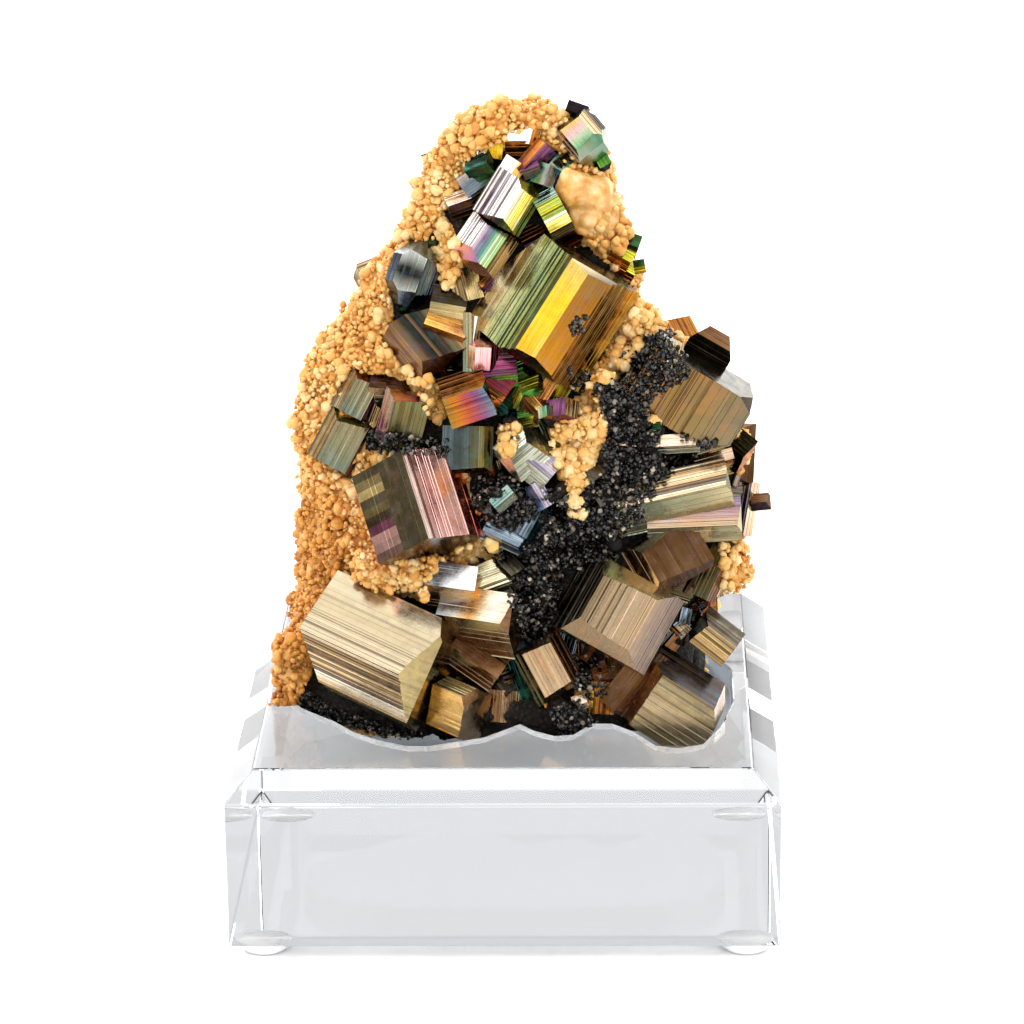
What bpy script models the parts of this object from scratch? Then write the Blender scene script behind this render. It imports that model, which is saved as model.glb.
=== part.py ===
"""Iridescent pyrite with calcite, fixed on a clear acrylic display block.

The specimen grew as one piece, so it is one solid: a rounded matrix, the lumps of its calcite
and black crusts, and flat-faced pyrite crystals, all joined. The block has bevelled top edges
and a shallow ground seat in its top, and it stands on four domed feet.

Lengths in the tables are millimetres. X is to the right, Y goes away from the viewer, Z is up,
and the origin is under the middle of the block at the level of the feet.
"""

import math
import random

import bmesh
import bpy
from mathutils import Vector
from mathutils import noise

MM = 0.001
TOUCH_GAP = 0.3

# Display block
BLOCK_SIDE = 76.0
BLOCK_HEIGHT = 25.0
BLOCK_BEVEL = 3.8
FOOT_HEIGHT = 2.0
FOOT_DIAMETER = 7.9
FOOT_FACE_DIAMETER = 5.6
FOOT_INSET = 4.6
BLOCK_BOTTOM = FOOT_HEIGHT
BLOCK_TOP = BLOCK_BOTTOM + BLOCK_HEIGHT

# Seat ground into the block's top, just wider than the specimen's foot
SEAT_DEPTH = 3.0
SEAT_FLOOR = BLOCK_TOP - SEAT_DEPTH
SEAT_OUTLINE = [
    (-33.5, 4), (-33, -6), (-29, -12), (-24, -17), (-21, -21), (-18, -23.5), (-13.5, -26),
    (-10.5, -26), (-8, -25), (-3, -23), (2, -18), (4, -20.5), (7, -22.5), (9.5, -22), (12, -18),
    (15, -18), (18, -21), (21, -26), (24, -27), (27.5, -25.5), (30, -19.5), (32, -10), (32, 2),
    (29, 12), (22, 18), (8, 20), (-8, 20), (-22, 18), (-31, 12),
]

# Where a direction seen in the front view lies in space: the crystals are described as they
# look from a viewer in front who looks down at this angle.
VIEW_PITCH = math.radians(19.3)
VIEW_RIGHT = Vector((1, 0, 0))
VIEW_UP = Vector((0, math.sin(VIEW_PITCH), math.cos(VIEW_PITCH)))
TO_VIEWER = Vector((0, -math.cos(VIEW_PITCH), math.sin(VIEW_PITCH)))

# Matrix, from foot to crest: height, left edge, right edge, front, back
MATRIX_STATIONS = [
    (24.3, -30.5, 28.5, -18, 15),
    (28, -31.5, 28.5, -18.5, 15.5),
    (34, -31, 29, -14, 16.5),
    (45, -29, 30, -11.5, 17),
    (57, -28.5, 31.5, -10, 16),
    (66, -28.5, 30.5, -8.5, 14.5),
    (72, -28, 27, -7, 13),
    (77, -24, 22, -5.5, 12),
    (83, -20, 18, -3.5, 11),
    (90, -15, 16, -1.5, 10),
    (98, -11.5, 13.5, 0, 8.5),
    (104, -8, 12, 0.5, 7),
    (108.5, -4, 8.5, 1, 5.5),
    (110, 0, 5, 2, 4.5),
]
MATRIX_SECTION_POINTS = 36
MATRIX_SQUARENESS = 2.6
MATRIX_WOBBLE = 0.7
MATRIX_WOBBLE_SPACING = 9.0

# Crust lumps on the matrix: lowest and highest z, from and to angle about the upright axis
# (0 is right, 90 back, 180 left, 270 front), how many, smallest and largest radius
CRUST_ZONES = [
    ("left_crust", 28, 78, 140, 222, 120, 1.5, 2.7),
    ("upper_left_crust", 76, 108, 110, 245, 80, 1.3, 2.3),
    ("crest_crust", 103, 110, 0, 360, 46, 1.2, 2.2),
    ("right_crust", 28, 90, -12, 50, 60, 1.4, 2.6),
    ("back_crust", 26, 106, 50, 140, 130, 1.6, 3.2),
    ("calcite_mass", 88, 103, -50, 30, 26, 2.2, 3.4),
]
# Crust patches between the crystals on the front: middle, spread, how many, radii
CRUST_PATCHES = [
    ("popcorn_cluster", (9.5, -9.5, 65), (3.5, 1.2, 6), 26, 1.1, 1.9),
    ("pale_lumps_under_cube", (-15, -14, 48), (5, 1.5, 2.5), 16, 1.2, 2.2),
    ("calcite_beside_prism", (17, -5, 79), (3, 1.2, 4), 16, 1.2, 2.0),
    ("white_cluster", (1, -10, 67), (1, 0.6, 2), 7, 0.9, 1.4),
    ("black_crust_right", (18, -10, 67), (5, 1, 8), 60, 0.9, 1.7),
    ("black_crust_right_low", (13, -11.5, 56), (3, 1, 5), 26, 0.9, 1.6),
    ("black_crust_middle", (3, -12, 56), (6.5, 1, 4), 46, 0.9, 1.6),
    ("black_crust_gap", (4, -13, 46), (3, 1, 5), 20, 0.9, 1.6),
    ("low_crust_left", (-29, -9, 31), (3, 3, 5), 26, 1.4, 2.4),
    ("right_flank", (31, -1, 54), (1, 2.5, 10), 24, 1.8, 3.0),
    ("foot_crust", (9, -18.5, 28.5), (2, 1.2, 1.2), 12, 1.2, 2.0),
]
CRUST_SEED = 31
LUMP_EMBED = 0.35
REMESH_VOXEL = 1.15
MATRIX_FACES = 3300

# Crystals on the sides and the back, where the photo does not reach: seeded, like the front ones
REAR_SEED = 12
REAR_CRYSTALS = 30
REAR_SIZE = (4.5, 9.5)
REAR_ANGLES = (18, 168)

# Crystals that show in the photo. Each is a prism along its striations, closed by a flat face
# at each end: name, middle (x, y, z), lean of its axis from the horizontal seen from the front,
# tilt of that axis out towards the viewer, length, side faces, bevels.
# A side face is (angle about the axis, width): 0 faces the viewer and a positive angle turns
# it to the right of an upright axis. Each one has its twin on the far side.
# A bevel is (end, angle about the axis, tilt of its normal from the axis, depth of the cut).
CRYSTALS = [
    ("crest_rainbow", (11.5, 0, 107), -51, 20, 6.2,
     [(-75, 3), (-35, 1.6), (5, 3.2), (60, 1.6)],
     [(1, 0, 40, 1), (1, -90, 56, 1.4), (-1, 0, 40, 1.2),
      (-1, -90, 35, 1)]),
    ("crest_dark_chip", (10.5, 2, 110), -20, 0, 3.2,
     [(-20, 1.5), (50, 1.2)], [(1, 0, 35, 0.5)]),
    ("crest_green_chip", (13.5, 1, 103.5), -62, 0, 3.8,
     [(0, 1.8), (60, 1.4)], [(1, 0, 35, 0.5)]),
    ("white_stripes", (1, -3, 98.5), 58, 5, 7,
     [(-25, 4.9), (30, 2.4), (60, 2)], [(1, 40, 40, 1), (-1, 0, 35, 1)]),
    ("white_cap", (1.5, -2, 103), 58, 5, 2.5,
     [(-25, 2.2), (40, 1.6)], []),
    ("violet_band", (-2.5, -4, 92.5), 57, -20, 6.5,
     [(-35, 3.2), (15, 3.5), (50, 2.5)], [(1, 0, 40, 1), (-1, -40, 35, 1.2)]),
    ("grey_wedge", (-3.5, 0, 100.5), 33, 0, 4.4,
     [(-45, 1.6), (15, 2), (60, 1.5)], []),
    ("dark_cap", (-6, -0.5, 97.5), 20, -10, 3.5,
     [(-45, 2.6), (35, 2.4)], []),
    ("steel_dodecahedron", (-12.5, -2, 88), 70, 0, 9.4,
     [(-60, 2.6), (-10, 3.6), (45, 3)],
     [(1, -60, 50, 1.8), (1, 60, 50, 2), (-1, -60, 50, 1.8),
      (-1, 60, 50, 1.8), (1, 0, 45, 1.6), (-1, 0, 45, 1.6)]),
    ("brass_stub_right", (-5.5, -3, 86.5), -75, 0, 4.6,
     [(-30, 2.6), (30, 3)], []),
    ("brass_stub_left", (-7.5, -4, 84), -10, 0, 5,
     [(-30, 3), (30, 3)], []),
    ("peacock_block", (-11, -6, 79), -50, 15, 9,
     [(-25, 6.5), (50, 4)], [(1, 0, 35, 1.5), (-1, -60, 30, 1.2)]),
    ("gold_step", (-8, -4.5, 80.5), -20, 0, 6,
     [(-35, 4), (45, 4)], []),
    ("pale_blade", (-4.5, -7, 79.5), 90, 0, 8.2,
     [(-20, 1.3), (35, 0.9)], [(1, 90, 30, 0.5)]),
    ("pale_blade_right", (-4, -6.5, 80.5), 80, 0, 5,
     [(-20, 1.2), (40, 1)], []),
    ("pink_block", (-2.5, -8, 78), 85, 30, 3.6,
     [(-35, 1.2), (5, 2.2), (60, 2.5)], []),
    ("magenta_stack", (-1, -7, 75), 5, 0, 6,
     [(-10, 4), (45, 4)], []),
    ("dark_red_chip", (-1.5, -8, 73.5), -35, 0, 5,
     [(-15, 3), (40, 3)], []),
    ("great_prism", (7, -5, 84), 57, 10, 16.2,
     [(-45, 11.7), (-10, 3.05), (27, 3.6), (55, 7)],
     [(1, 20, 20, 0.6), (1, -90, 70, 2.8), (-1, 0, 35, 1.6)]),
    ("strip_behind_prism", (14.5, 1, 88.5), -30, 0, 8.5,
     [(-40, 1.5), (30, 2)], []),
    ("right_edge_top", (17.5, 0, 91.5), -20, 0, 3,
     [(-30, 2), (40, 2)], []),
    ("right_edge_gold", (16.5, -1, 90), -30, 0, 3.2,
     [(-30, 2.2), (40, 2)], []),
    ("right_edge_tip", (19, -1, 88.5), 10, 0, 1.6,
     [(-30, 1.2), (40, 1.2)], []),
    ("lime_stripes", (7, -3, 97), 28, 0, 3.4,
     [(-55, 3.5), (-10, 2.5), (30, 2), (60, 2)], []),
    ("plum_blade", (5, -1, 104), 48, 0, 4.5,
     [(-35, 1.8), (40, 3)], []),
    ("plum_chip", (4, -2, 103), 20, 0, 2.5,
     [(-30, 1.8), (45, 1.6)], []),
    ("moss_chip", (6, -2, 102), 70, 0, 3,
     [(-30, 2), (45, 2)], []),
    ("white_flash", (2, 0, 106), 0, 0, 3,
     [(-15, 1.6), (50, 3)], []),
    ("white_flash_small", (4, 0, 107), 75, 0, 2.4,
     [(-25, 1.6), (45, 1.6)], []),
    ("yellow_chip", (-1.5, 0, 105.5), 80, 0, 3,
     [(-35, 1.6), (20, 2.4)], []),
    ("sage_prism_low", (-22.5, -5, 64.5), 62, 0, 8,
     [(-50, 2.8), (15, 4.5), (70, 4)], [(1, 0, 40, 1.5)]),
    ("sage_prism_high", (-20, -4, 71), 62, 0, 6.5,
     [(-50, 2.8), (10, 3.2), (60, 3)], [(1, 0, 40, 1.2)]),
    ("brown_bridge", (-16, -5, 72), -5, 0, 5.5,
     [(-30, 2.5), (40, 3)], []),
    ("rainbow_strip", (-14, -9, 69), 75, 15, 7.5,
     [(-60, 3.2), (15, 5.2)], [(1, 0, 30, 1)]),
    ("slate_cube", (-5, -11, 65), 88, 0, 6.8,
     [(-10, 6), (40, 1.5)], [(-1, 0, 30, 1)]),
    ("sunset_cube", (-5, -10, 72.5), 18, 0, 6.5,
     [(-50, 5), (25, 4.6)], [(1, 0, 25, 0.6)]),
    ("pink_cube", (-12, -13, 57.5), 108, -12, 13,
     [(-36, 9.8), (46, 7.6), (68, 4.2)], []),
    ("cream_block", (-18, -15.5, 37), -24, 20, 19,
     [(-25, 10.2), (30, 7), (80, 5)], [(1, 0, 35, 2.2), (1, -90, 30, 1.5), (-1, 80, 40, 3.4)]),
    ("golden_foot", (-6.5, -19, 29.5), -22, 27, 5.6,
     [(-62, 3.6), (22, 6), (85, 4)], [(1, -60, 25, 0.6)]),
    ("brown_shadow", (-4, -16, 36), -35, 0, 8,
     [(-30, 4), (40, 3)], []),
    ("pale_roof_left", (-7.5, -15, 46.5), -8, 0, 7,
     [(-26, 3.8), (50, 4.4)], []),
    ("pale_roof_low", (-3.5, -16, 41.5), -8, 18, 10.5,
     [(-24, 4.8), (50, 7.4)], [(1, 0, 30, 0.8)]),
    ("speckled_roof", (-2, -13, 46), 20, 0, 6,
     [(-20, 4), (50, 4)], []),
    ("bronze_block", (15.5, -14, 42), 60.7, -8, 11.8,
     [(-60, 7), (5, 8.2), (40, 4.7)], [(1, 0, 45, 2), (-1, 0, 40, 1.8)]),
    ("tan_prism", (6, -16, 34.5), -62, 0, 8.4,
     [(-55, 3), (8, 4.4), (60, 3)], [(1, 0, 30, 1), (-1, 0, 30, 1)]),
    ("tan_prism_edge", (4, -15, 32.5), -72, 0, 8.6,
     [(-20, 2.4), (50, 4)], []),
    ("amber_stub", (12.5, -17, 30.5), 85, 0, 4.5,
     [(-25, 3), (20, 3.2)], []),
    ("amber_chip", (10.5, -18, 30), 20, 0, 2,
     [(-25, 1.5), (40, 1.5)], []),
    ("olive_block", (24, -16, 29), -33, -3, 12.2,
     [(-60, 7), (10, 8.6)], [(1, -60, 35, 1.4), (-1, 10, 35, 1.6)]),
    ("tan_strip", (18.5, -15, 32), 52, 0, 10.4,
     [(-20, 3), (60, 6)], []),
    ("speckled_end", (29.5, -9, 36.5), -38, 0, 6.5,
     [(-50, 3.5), (15, 3.6)], [(-1, 0, 40, 1.2)]),
    ("copper_face", (23, -11, 49), -60, 0, 8,
     [(-10, 8.5), (60, 5)], [(1, 0, 35, 1.5), (-1, 0, 35, 1.2)]),
    ("grey_flank", (29.5, -6, 45.5), 65, 0, 9,
     [(-10, 2.6), (60, 2.4)], []),
    ("long_bar", (23, -10, 57.5), 12.5, 0, 17.4,
     [(-25, 4.2), (45, 5.6)], [(1, 0, 30, 0.6), (-1, 0, 35, 1.2)]),
    ("violet_bar", (26.5, -9.5, 54), 2, 0, 13.2,
     [(-20, 4.2), (50, 3.4)], [(1, 0, 30, 0.6)]),
    ("bar_end", (34, -3, 53.5), 80, 0, 7.7,
     [(-20, 1.6), (55, 2.2)], [(1, -60, 40, 0.8), (-1, -60, 40, 0.8)]),
    ("bronze_plate", (25.5, -7, 72), 58, 20, 9.2,
     [(-75, 8), (5, 16)], [(1, 60, 35, 1.2), (-1, 70, 35, 2)]),
    ("dark_shoulder", (29, -3, 77.5), -30, 0, 6.6,
     [(-45, 2.6), (30, 3.4)], [(1, -90, 31, 1.5), (-1, -90, 31, 1.5)]),
    ("brown_edge", (33.5, -1, 61), 87, 0, 8.6,
     [(-45, 2.2), (35, 2.2)], [(1, 0, 30, 0.6), (-1, 0, 30, 0.6)]),
    ("silver_crumple", (2.5, -12, 65), 40, 0, 6,
     [(-30, 3), (20, 4)], [(1, 0, 40, 1.2), (-1, 0, 40, 1.2)]),
    ("silver_crumple_low", (5, -12, 62.5), -40, 0, 4,
     [(-30, 3), (40, 3)], []),
    ("bar_tip", (36, -3, 54.5), 5, 0, 2.8,
     [(-30, 1.5), (40, 1.5)], [(1, 0, 35, 0.6)]),
    ("pale_wedge", (29, -7, 63.5), 15, 0, 5.5,
     [(-30, 2.5), (40, 2)], []),
    ("tan_foot", (-0.5, -16.5, 29), 85, 0, 4.5,
     [(-25, 2.5), (35, 3)], []),
    ("green_cluster_1", (1, -6, 76.5), 70, 0, 2.6,
     [(-30, 1.6), (40, 1.8)], [(1, 0, 35, 0.6)]),
    ("green_cluster_2", (2, -7, 75), 20, 0, 3,
     [(-30, 2), (40, 2)], [(1, 0, 35, 0.6)]),
    ("green_cluster_3", (2, -7, 73), 60, 0, 3,
     [(-30, 2), (40, 1.8)], [(1, 0, 35, 0.6)]),
    ("green_cluster_4", (0, -8, 71), -40, 0, 4,
     [(-30, 2.4), (40, 2.4)], [(1, 0, 35, 0.8)]),
    ("green_cluster_5", (0.5, -8, 69.5), 30, 0, 3,
     [(-30, 2), (40, 2)], [(1, 0, 35, 0.6)]),
    ("green_cluster_6", (2.5, -8, 71.5), 65, 0, 3.2,
     [(-30, 2), (40, 2)], [(1, 0, 35, 0.6)]),
    ("green_cluster_7", (4, -8, 73), 20, 0, 3.2,
     [(-30, 2), (40, 2)], [(1, 0, 35, 0.6)]),
    ("green_cluster_8", (4.5, -8.5, 70.5), -50, 0, 4,
     [(-30, 2.2), (40, 2)], [(1, 0, 35, 0.6)]),
    ("green_cluster_9", (7, -8, 72.5), 58, 0, 4.2,
     [(-30, 2.2), (40, 2.6)], [(-1, 0, 35, 0.6)]),
    ("green_cluster_10", (6.5, -8, 70), 40, 0, 3.2,
     [(-30, 2), (40, 2)], [(1, 0, 35, 0.6)]),
    ("green_cluster_11", (3.5, -8.5, 69), 10, 0, 3,
     [(-30, 1.6), (40, 2)], [(1, 0, 35, 0.6)]),
    ("green_cluster_12", (6.5, -8.5, 68.5), -20, 0, 2.4,
     [(-30, 1.4), (40, 1.6)], [(1, 0, 35, 0.6)]),
    ("blue_steps", (20, -6, 78.5), 58, 0, 4.5,
     [(-40, 2), (20, 2.4)], []),
    ("speckled_post", (23.5, -10, 78), 80, 0, 4.5,
     [(-30, 1.5), (30, 1.5)], [(-1, 0, 35, 0.5)]),
    ("tan_sliver", (17.5, -9, 74), 45, 0, 3,
     [(-30, 1.3), (30, 1.2)], []),
    ("blue_sliver", (16, -9, 71), 50, 0, 4,
     [(-30, 1.4), (30, 1.2)], []),
    ("tan_flake_left", (17.5, -10, 65.5), -5, 0, 5,
     [(-20, 1.6), (45, 1.2)], []),
    ("tan_flake_right", (23.5, -10, 65.5), 3, 0, 7.5,
     [(-20, 1.8), (50, 1.5)], [(1, 0, 30, 0.4)]),
    ("white_flake", (13.5, -11, 59), -60, 0, 4,
     [(-20, 1.6), (45, 1.2)], []),
    ("teal_flake", (0, -13, 58.5), 40, 0, 3.4,
     [(-20, 1.6), (45, 1.4)], []),
    ("violet_flake", (5, -13, 59), -60, 0, 3.8,
     [(-20, 1.6), (45, 1.4)], []),
    ("blue_flake", (4, -12.5, 55), 60, 0, 5,
     [(-20, 2), (45, 1.4)], []),
    ("blue_fan", (0, -13, 53), -25, 0, 6.2,
     [(-20, 2.2), (45, 1.5)], [(1, 0, 35, 0.6)]),
    ("dark_wall", (5.5, -11, 42.5), 80, 0, 9,
     [(-30, 4), (40, 4)], []),
    ("dark_teal_blade", (2.5, -14, 34), -70, 0, 9,
     [(-30, 3.4), (40, 3)], []),
    ("dark_gap", (7.5, -11, 37), 50, 0, 6,
     [(-30, 3.4), (40, 3)], []),
]


def remove_everything():
    """Empty the scene without closing the file."""
    for item in list(bpy.data.objects):
        bpy.data.objects.remove(item, do_unlink=True)


def new_collection(name, hidden=False):
    collection = bpy.data.collections.new(name)
    bpy.context.scene.collection.children.link(collection)
    collection.hide_render = hidden
    return collection


def new_object(name, bm, collection):
    mesh = bpy.data.meshes.new(name)
    bm.to_mesh(mesh)
    bm.free()
    item = bpy.data.objects.new(name, mesh)
    collection.objects.link(item)
    return item


def make_guide(item):
    """Show a cutter or a guide as wire and keep it out of renders."""
    item.hide_render = True
    item.display_type = 'WIRE'


def principled(name, colour, roughness, metallic=0.0, transmission=0.0, ior=1.5):
    material = bpy.data.materials.new(name)
    material.use_nodes = True
    shader = material.node_tree.nodes["Principled BSDF"]
    shader.inputs["Base Color"].default_value = (*colour, 1.0)
    shader.inputs["Roughness"].default_value = roughness
    shader.inputs["Metallic"].default_value = metallic
    shader.inputs["Transmission Weight"].default_value = transmission
    shader.inputs["IOR"].default_value = ior
    material.diffuse_color = (*colour, 1.0)
    return material


def apply_modifiers(item):
    """Replace an object's mesh by its evaluated mesh."""
    depsgraph = bpy.context.evaluated_depsgraph_get()
    mesh = bpy.data.meshes.new_from_object(item.evaluated_get(depsgraph))
    item.modifiers.clear()
    item.data = mesh
    return item


def crystal_axes(lean, out):
    """Axis, direction of angle 0 and direction of angle 90 of a crystal."""
    lean, out = math.radians(lean), math.radians(out)
    across = math.cos(lean) * VIEW_RIGHT + math.sin(lean) * VIEW_UP
    axis = math.cos(out) * across + math.sin(out) * TO_VIEWER
    facing = (TO_VIEWER - TO_VIEWER.dot(axis) * axis).normalized()
    return axis, facing, axis.cross(facing)


def half_width(faces, angle):
    """Distance from the axis to the prism's side in a direction about the axis."""
    return 0.5 * sum(width * abs(math.sin(math.radians(face - angle))) for face, width in faces)


def crystal_planes(lean, out, length, faces, bevels):
    """Outward normal and distance from the middle of every flat face."""
    axis, facing, side = crystal_axes(lean, out)

    def about(angle):
        turn = math.radians(angle)
        return math.cos(turn) * facing + math.sin(turn) * side

    planes = []
    for angle, _ in faces:
        planes.append((about(angle), half_width(faces, angle)))
        planes.append((-about(angle), half_width(faces, angle)))
    for end in (1, -1):
        planes.append((end * axis, length / 2))
    for end, angle, tilt, cut in bevels:
        tilt = math.radians(tilt)
        normal = end * math.cos(tilt) * axis + math.sin(tilt) * about(angle)
        corner = math.cos(tilt) * length / 2 + math.sin(tilt) * half_width(faces, angle)
        planes.append((normal, corner - cut))
    return planes


def add_crystal(bm, middle, planes):
    """Cut a block down to one closed crystal with flat faces and add it to bm."""
    block = bmesh.new()
    reach = max(distance for _, distance in planes)
    bmesh.ops.create_cube(block, size=4 * reach)
    for normal, distance in planes:
        cut = bmesh.ops.bisect_plane(
            block, geom=block.verts[:] + block.edges[:] + block.faces[:], dist=1e-5,
            plane_co=normal * distance, plane_no=normal, clear_outer=True)
        edges = [part for part in cut["geom_cut"] if isinstance(part, bmesh.types.BMEdge)]
        if len(edges) > 2:
            bmesh.ops.edgeloop_fill(block, edges=edges)
    bmesh.ops.remove_doubles(block, verts=block.verts[:], dist=1e-3)
    bmesh.ops.dissolve_degenerate(block, edges=block.edges[:], dist=1e-3)
    bmesh.ops.recalc_face_normals(block, faces=block.faces[:])
    bmesh.ops.scale(block, vec=(MM, MM, MM), verts=block.verts[:])
    bmesh.ops.translate(block, vec=Vector(middle) * MM, verts=block.verts[:])
    copy = bpy.data.meshes.new("crystal")
    block.to_mesh(copy)
    block.free()
    bm.from_mesh(copy)
    bpy.data.meshes.remove(copy)


def station_at(height):
    """Left, right, front and back of the matrix at a height."""
    for low, high in zip(MATRIX_STATIONS, MATRIX_STATIONS[1:]):
        if height <= high[0]:
            share = (height - low[0]) / (high[0] - low[0])
            return [a + share * (b - a) for a, b in zip(low[1:], high[1:])]
    return list(MATRIX_STATIONS[-1][1:])


def matrix_point(height, angle):
    """Point of the matrix surface: a superellipse at each height, wavering a little."""
    left, right, front, back = station_at(height)
    turn = math.radians(angle)
    power = 2 / MATRIX_SQUARENESS
    across = math.copysign(abs(math.cos(turn)) ** power, math.cos(turn))
    deep = math.copysign(abs(math.sin(turn)) ** power, math.sin(turn))
    x = (left + right) / 2 + across * (right - left) / 2
    y = (front + back) / 2 + deep * (back - front) / 2
    place = Vector((x, y, height))
    waver = MATRIX_WOBBLE * noise.noise(place / MATRIX_WOBBLE_SPACING)
    return place + waver * Vector((math.cos(turn), math.sin(turn), 0))


def add_matrix(bm):
    """Loft of rings from the foot to the crest, closed at both ends."""
    rings = []
    for station in MATRIX_STATIONS:
        ring = []
        for step in range(MATRIX_SECTION_POINTS):
            angle = 360 * step / MATRIX_SECTION_POINTS
            ring.append(bm.verts.new(matrix_point(station[0], angle) * MM))
        rings.append(ring)
    for low, high in zip(rings, rings[1:]):
        for step in range(MATRIX_SECTION_POINTS):
            after = (step + 1) % MATRIX_SECTION_POINTS
            bm.faces.new((low[step], low[after], high[after], high[step]))
    bm.faces.new(list(reversed(rings[0])))
    bm.faces.new(rings[-1])


def add_lump(bm, place, radius, rng):
    """One rounded lump, a little out of round."""
    made = bmesh.ops.create_icosphere(bm, subdivisions=2, radius=radius * MM)
    squash = Vector((rng.uniform(0.8, 1.15), rng.uniform(0.8, 1.15), rng.uniform(0.8, 1.15)))
    bmesh.ops.scale(bm, vec=squash, verts=made["verts"])
    bmesh.ops.translate(bm, vec=place * MM, verts=made["verts"])


def add_crusts(bm):
    rng = random.Random(CRUST_SEED)
    for _, low, high, start, stop, count, small, large in CRUST_ZONES:
        for _ in range(count):
            height = rng.uniform(low, high)
            angle = rng.uniform(start, stop)
            radius = rng.uniform(small, large)
            place = matrix_point(height, angle)
            inward = Vector((0, 0, place.z)) - place
            add_lump(bm, place + LUMP_EMBED * radius * inward.normalized(), radius, rng)
    for _, middle, spread, count, small, large in CRUST_PATCHES:
        for _ in range(count):
            offset = Vector(rng.uniform(-1, 1) * reach for reach in spread)
            add_lump(bm, Vector(middle) + offset, rng.uniform(small, large), rng)


def make_matrix(collection):
    """Matrix and crust lumps melted into one skin, then thinned."""
    bm = bmesh.new()
    add_matrix(bm)
    add_crusts(bm)
    matrix = new_object("specimen", bm, collection)
    melt = matrix.modifiers.new("melt", 'REMESH')
    melt.mode = 'VOXEL'
    melt.voxel_size = REMESH_VOXEL * MM
    apply_modifiers(matrix)
    thin = matrix.modifiers.new("thin", 'DECIMATE')
    thin.ratio = MATRIX_FACES / sum(len(face.vertices) - 2 for face in matrix.data.polygons)
    return apply_modifiers(matrix)


def rear_crystals():
    """Seeded crystals for the sides and the back: middle and planes of each."""
    rng = random.Random(REAR_SEED)
    low, high = MATRIX_STATIONS[0][0] + 6, MATRIX_STATIONS[-1][0] - 6
    found = []
    for index in range(REAR_CRYSTALS):
        height = low + (high - low) * (index + rng.uniform(0.1, 0.9)) / REAR_CRYSTALS
        angle = rng.uniform(*REAR_ANGLES)
        size = rng.uniform(*REAR_SIZE) * (1.0 if height < 80 else 0.65)
        middle = matrix_point(height, angle)
        middle = Vector((middle.x * 0.97, middle.y, middle.z))
        faces = [(rng.uniform(-45, -15), size), (rng.uniform(20, 55), size * rng.uniform(0.6, 1.0))]
        bevels = [(rng.choice((1, -1)), rng.uniform(-180, 180), 38, size * 0.18)]
        lean, out = rng.uniform(-90, 90), rng.uniform(-25, 25)
        length = size * rng.uniform(0.9, 1.4)
        found.append((middle, crystal_planes(lean, out, length, faces, bevels)))
    return found


def seat_prism(name, shrink, low, high, collection):
    """Upright prism on the seat's outline, drawn in by a margin."""
    centre = Vector((0, -2))
    bm = bmesh.new()
    ring = []
    for x, y in SEAT_OUTLINE:
        spoke = Vector((x, y)) - centre
        spoke *= 1 - shrink / spoke.length
        ring.append(bm.verts.new(Vector((*(centre + spoke), low)) * MM))
    base = bm.faces.new(ring)
    grown = bmesh.ops.extrude_face_region(bm, geom=[base])
    lifted = [part for part in grown["geom"] if isinstance(part, bmesh.types.BMVert)]
    bmesh.ops.translate(bm, vec=(0, 0, (high - low) * MM), verts=lifted)
    bmesh.ops.recalc_face_normals(bm, faces=bm.faces[:])
    prism = new_object(name, bm, collection)
    make_guide(prism)
    return prism


def cut_with(item, cutter, operation='DIFFERENCE'):
    boolean = item.modifiers.new(cutter.name, 'BOOLEAN')
    boolean.operation = operation
    boolean.solver = 'EXACT'
    boolean.object = cutter
    return boolean


def make_specimen(collection, cutters):
    """Matrix with the crystals joined to it, trimmed to sit in the seat."""
    specimen = make_matrix(collection)
    grown = []
    for name, middle, lean, out, length, faces, bevels in CRYSTALS:
        grown.append((name, Vector(middle), crystal_planes(lean, out, length, faces, bevels)))
    for index, (middle, planes) in enumerate(rear_crystals()):
        grown.append(("rear_%d" % index, middle, planes))
    operands = bpy.data.collections.new("crystals")
    cutters.children.link(operands)
    for name, middle, planes in grown:
        bm = bmesh.new()
        add_crystal(bm, middle, planes)
        make_guide(new_object(name, bm, operands))
    join = specimen.modifiers.new("join_crystals", 'BOOLEAN')
    join.operation = 'UNION'
    join.solver = 'EXACT'
    join.operand_type = 'COLLECTION'
    join.collection = operands
    apply_modifiers(specimen)

    # The block with its seat, grown by the touching gap, trims the specimen's foot
    slab_bm = bmesh.new()
    bmesh.ops.create_cube(slab_bm, size=1.0)
    low, high = SEAT_FLOOR - 8, BLOCK_TOP + TOUCH_GAP
    bmesh.ops.scale(slab_bm, vec=(0.1, 0.1, (high - low) * MM), verts=slab_bm.verts[:])
    bmesh.ops.translate(slab_bm, vec=(0, 0, (high + low) / 2 * MM), verts=slab_bm.verts[:])
    slab = new_object("foot_trim", slab_bm, cutters)
    make_guide(slab)
    hollow = seat_prism("foot_hollow", TOUCH_GAP + 0.1, SEAT_FLOOR + TOUCH_GAP, high + 5, cutters)
    cut_with(slab, hollow)
    cut_with(specimen, slab)
    apply_modifiers(specimen)
    keep_largest_piece(specimen)
    specimen.data.materials.clear()
    specimen.data.materials.append(
        principled("tarnished_pyrite", (0.42, 0.34, 0.20), 0.28, metallic=0.9))
    return specimen


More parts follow.
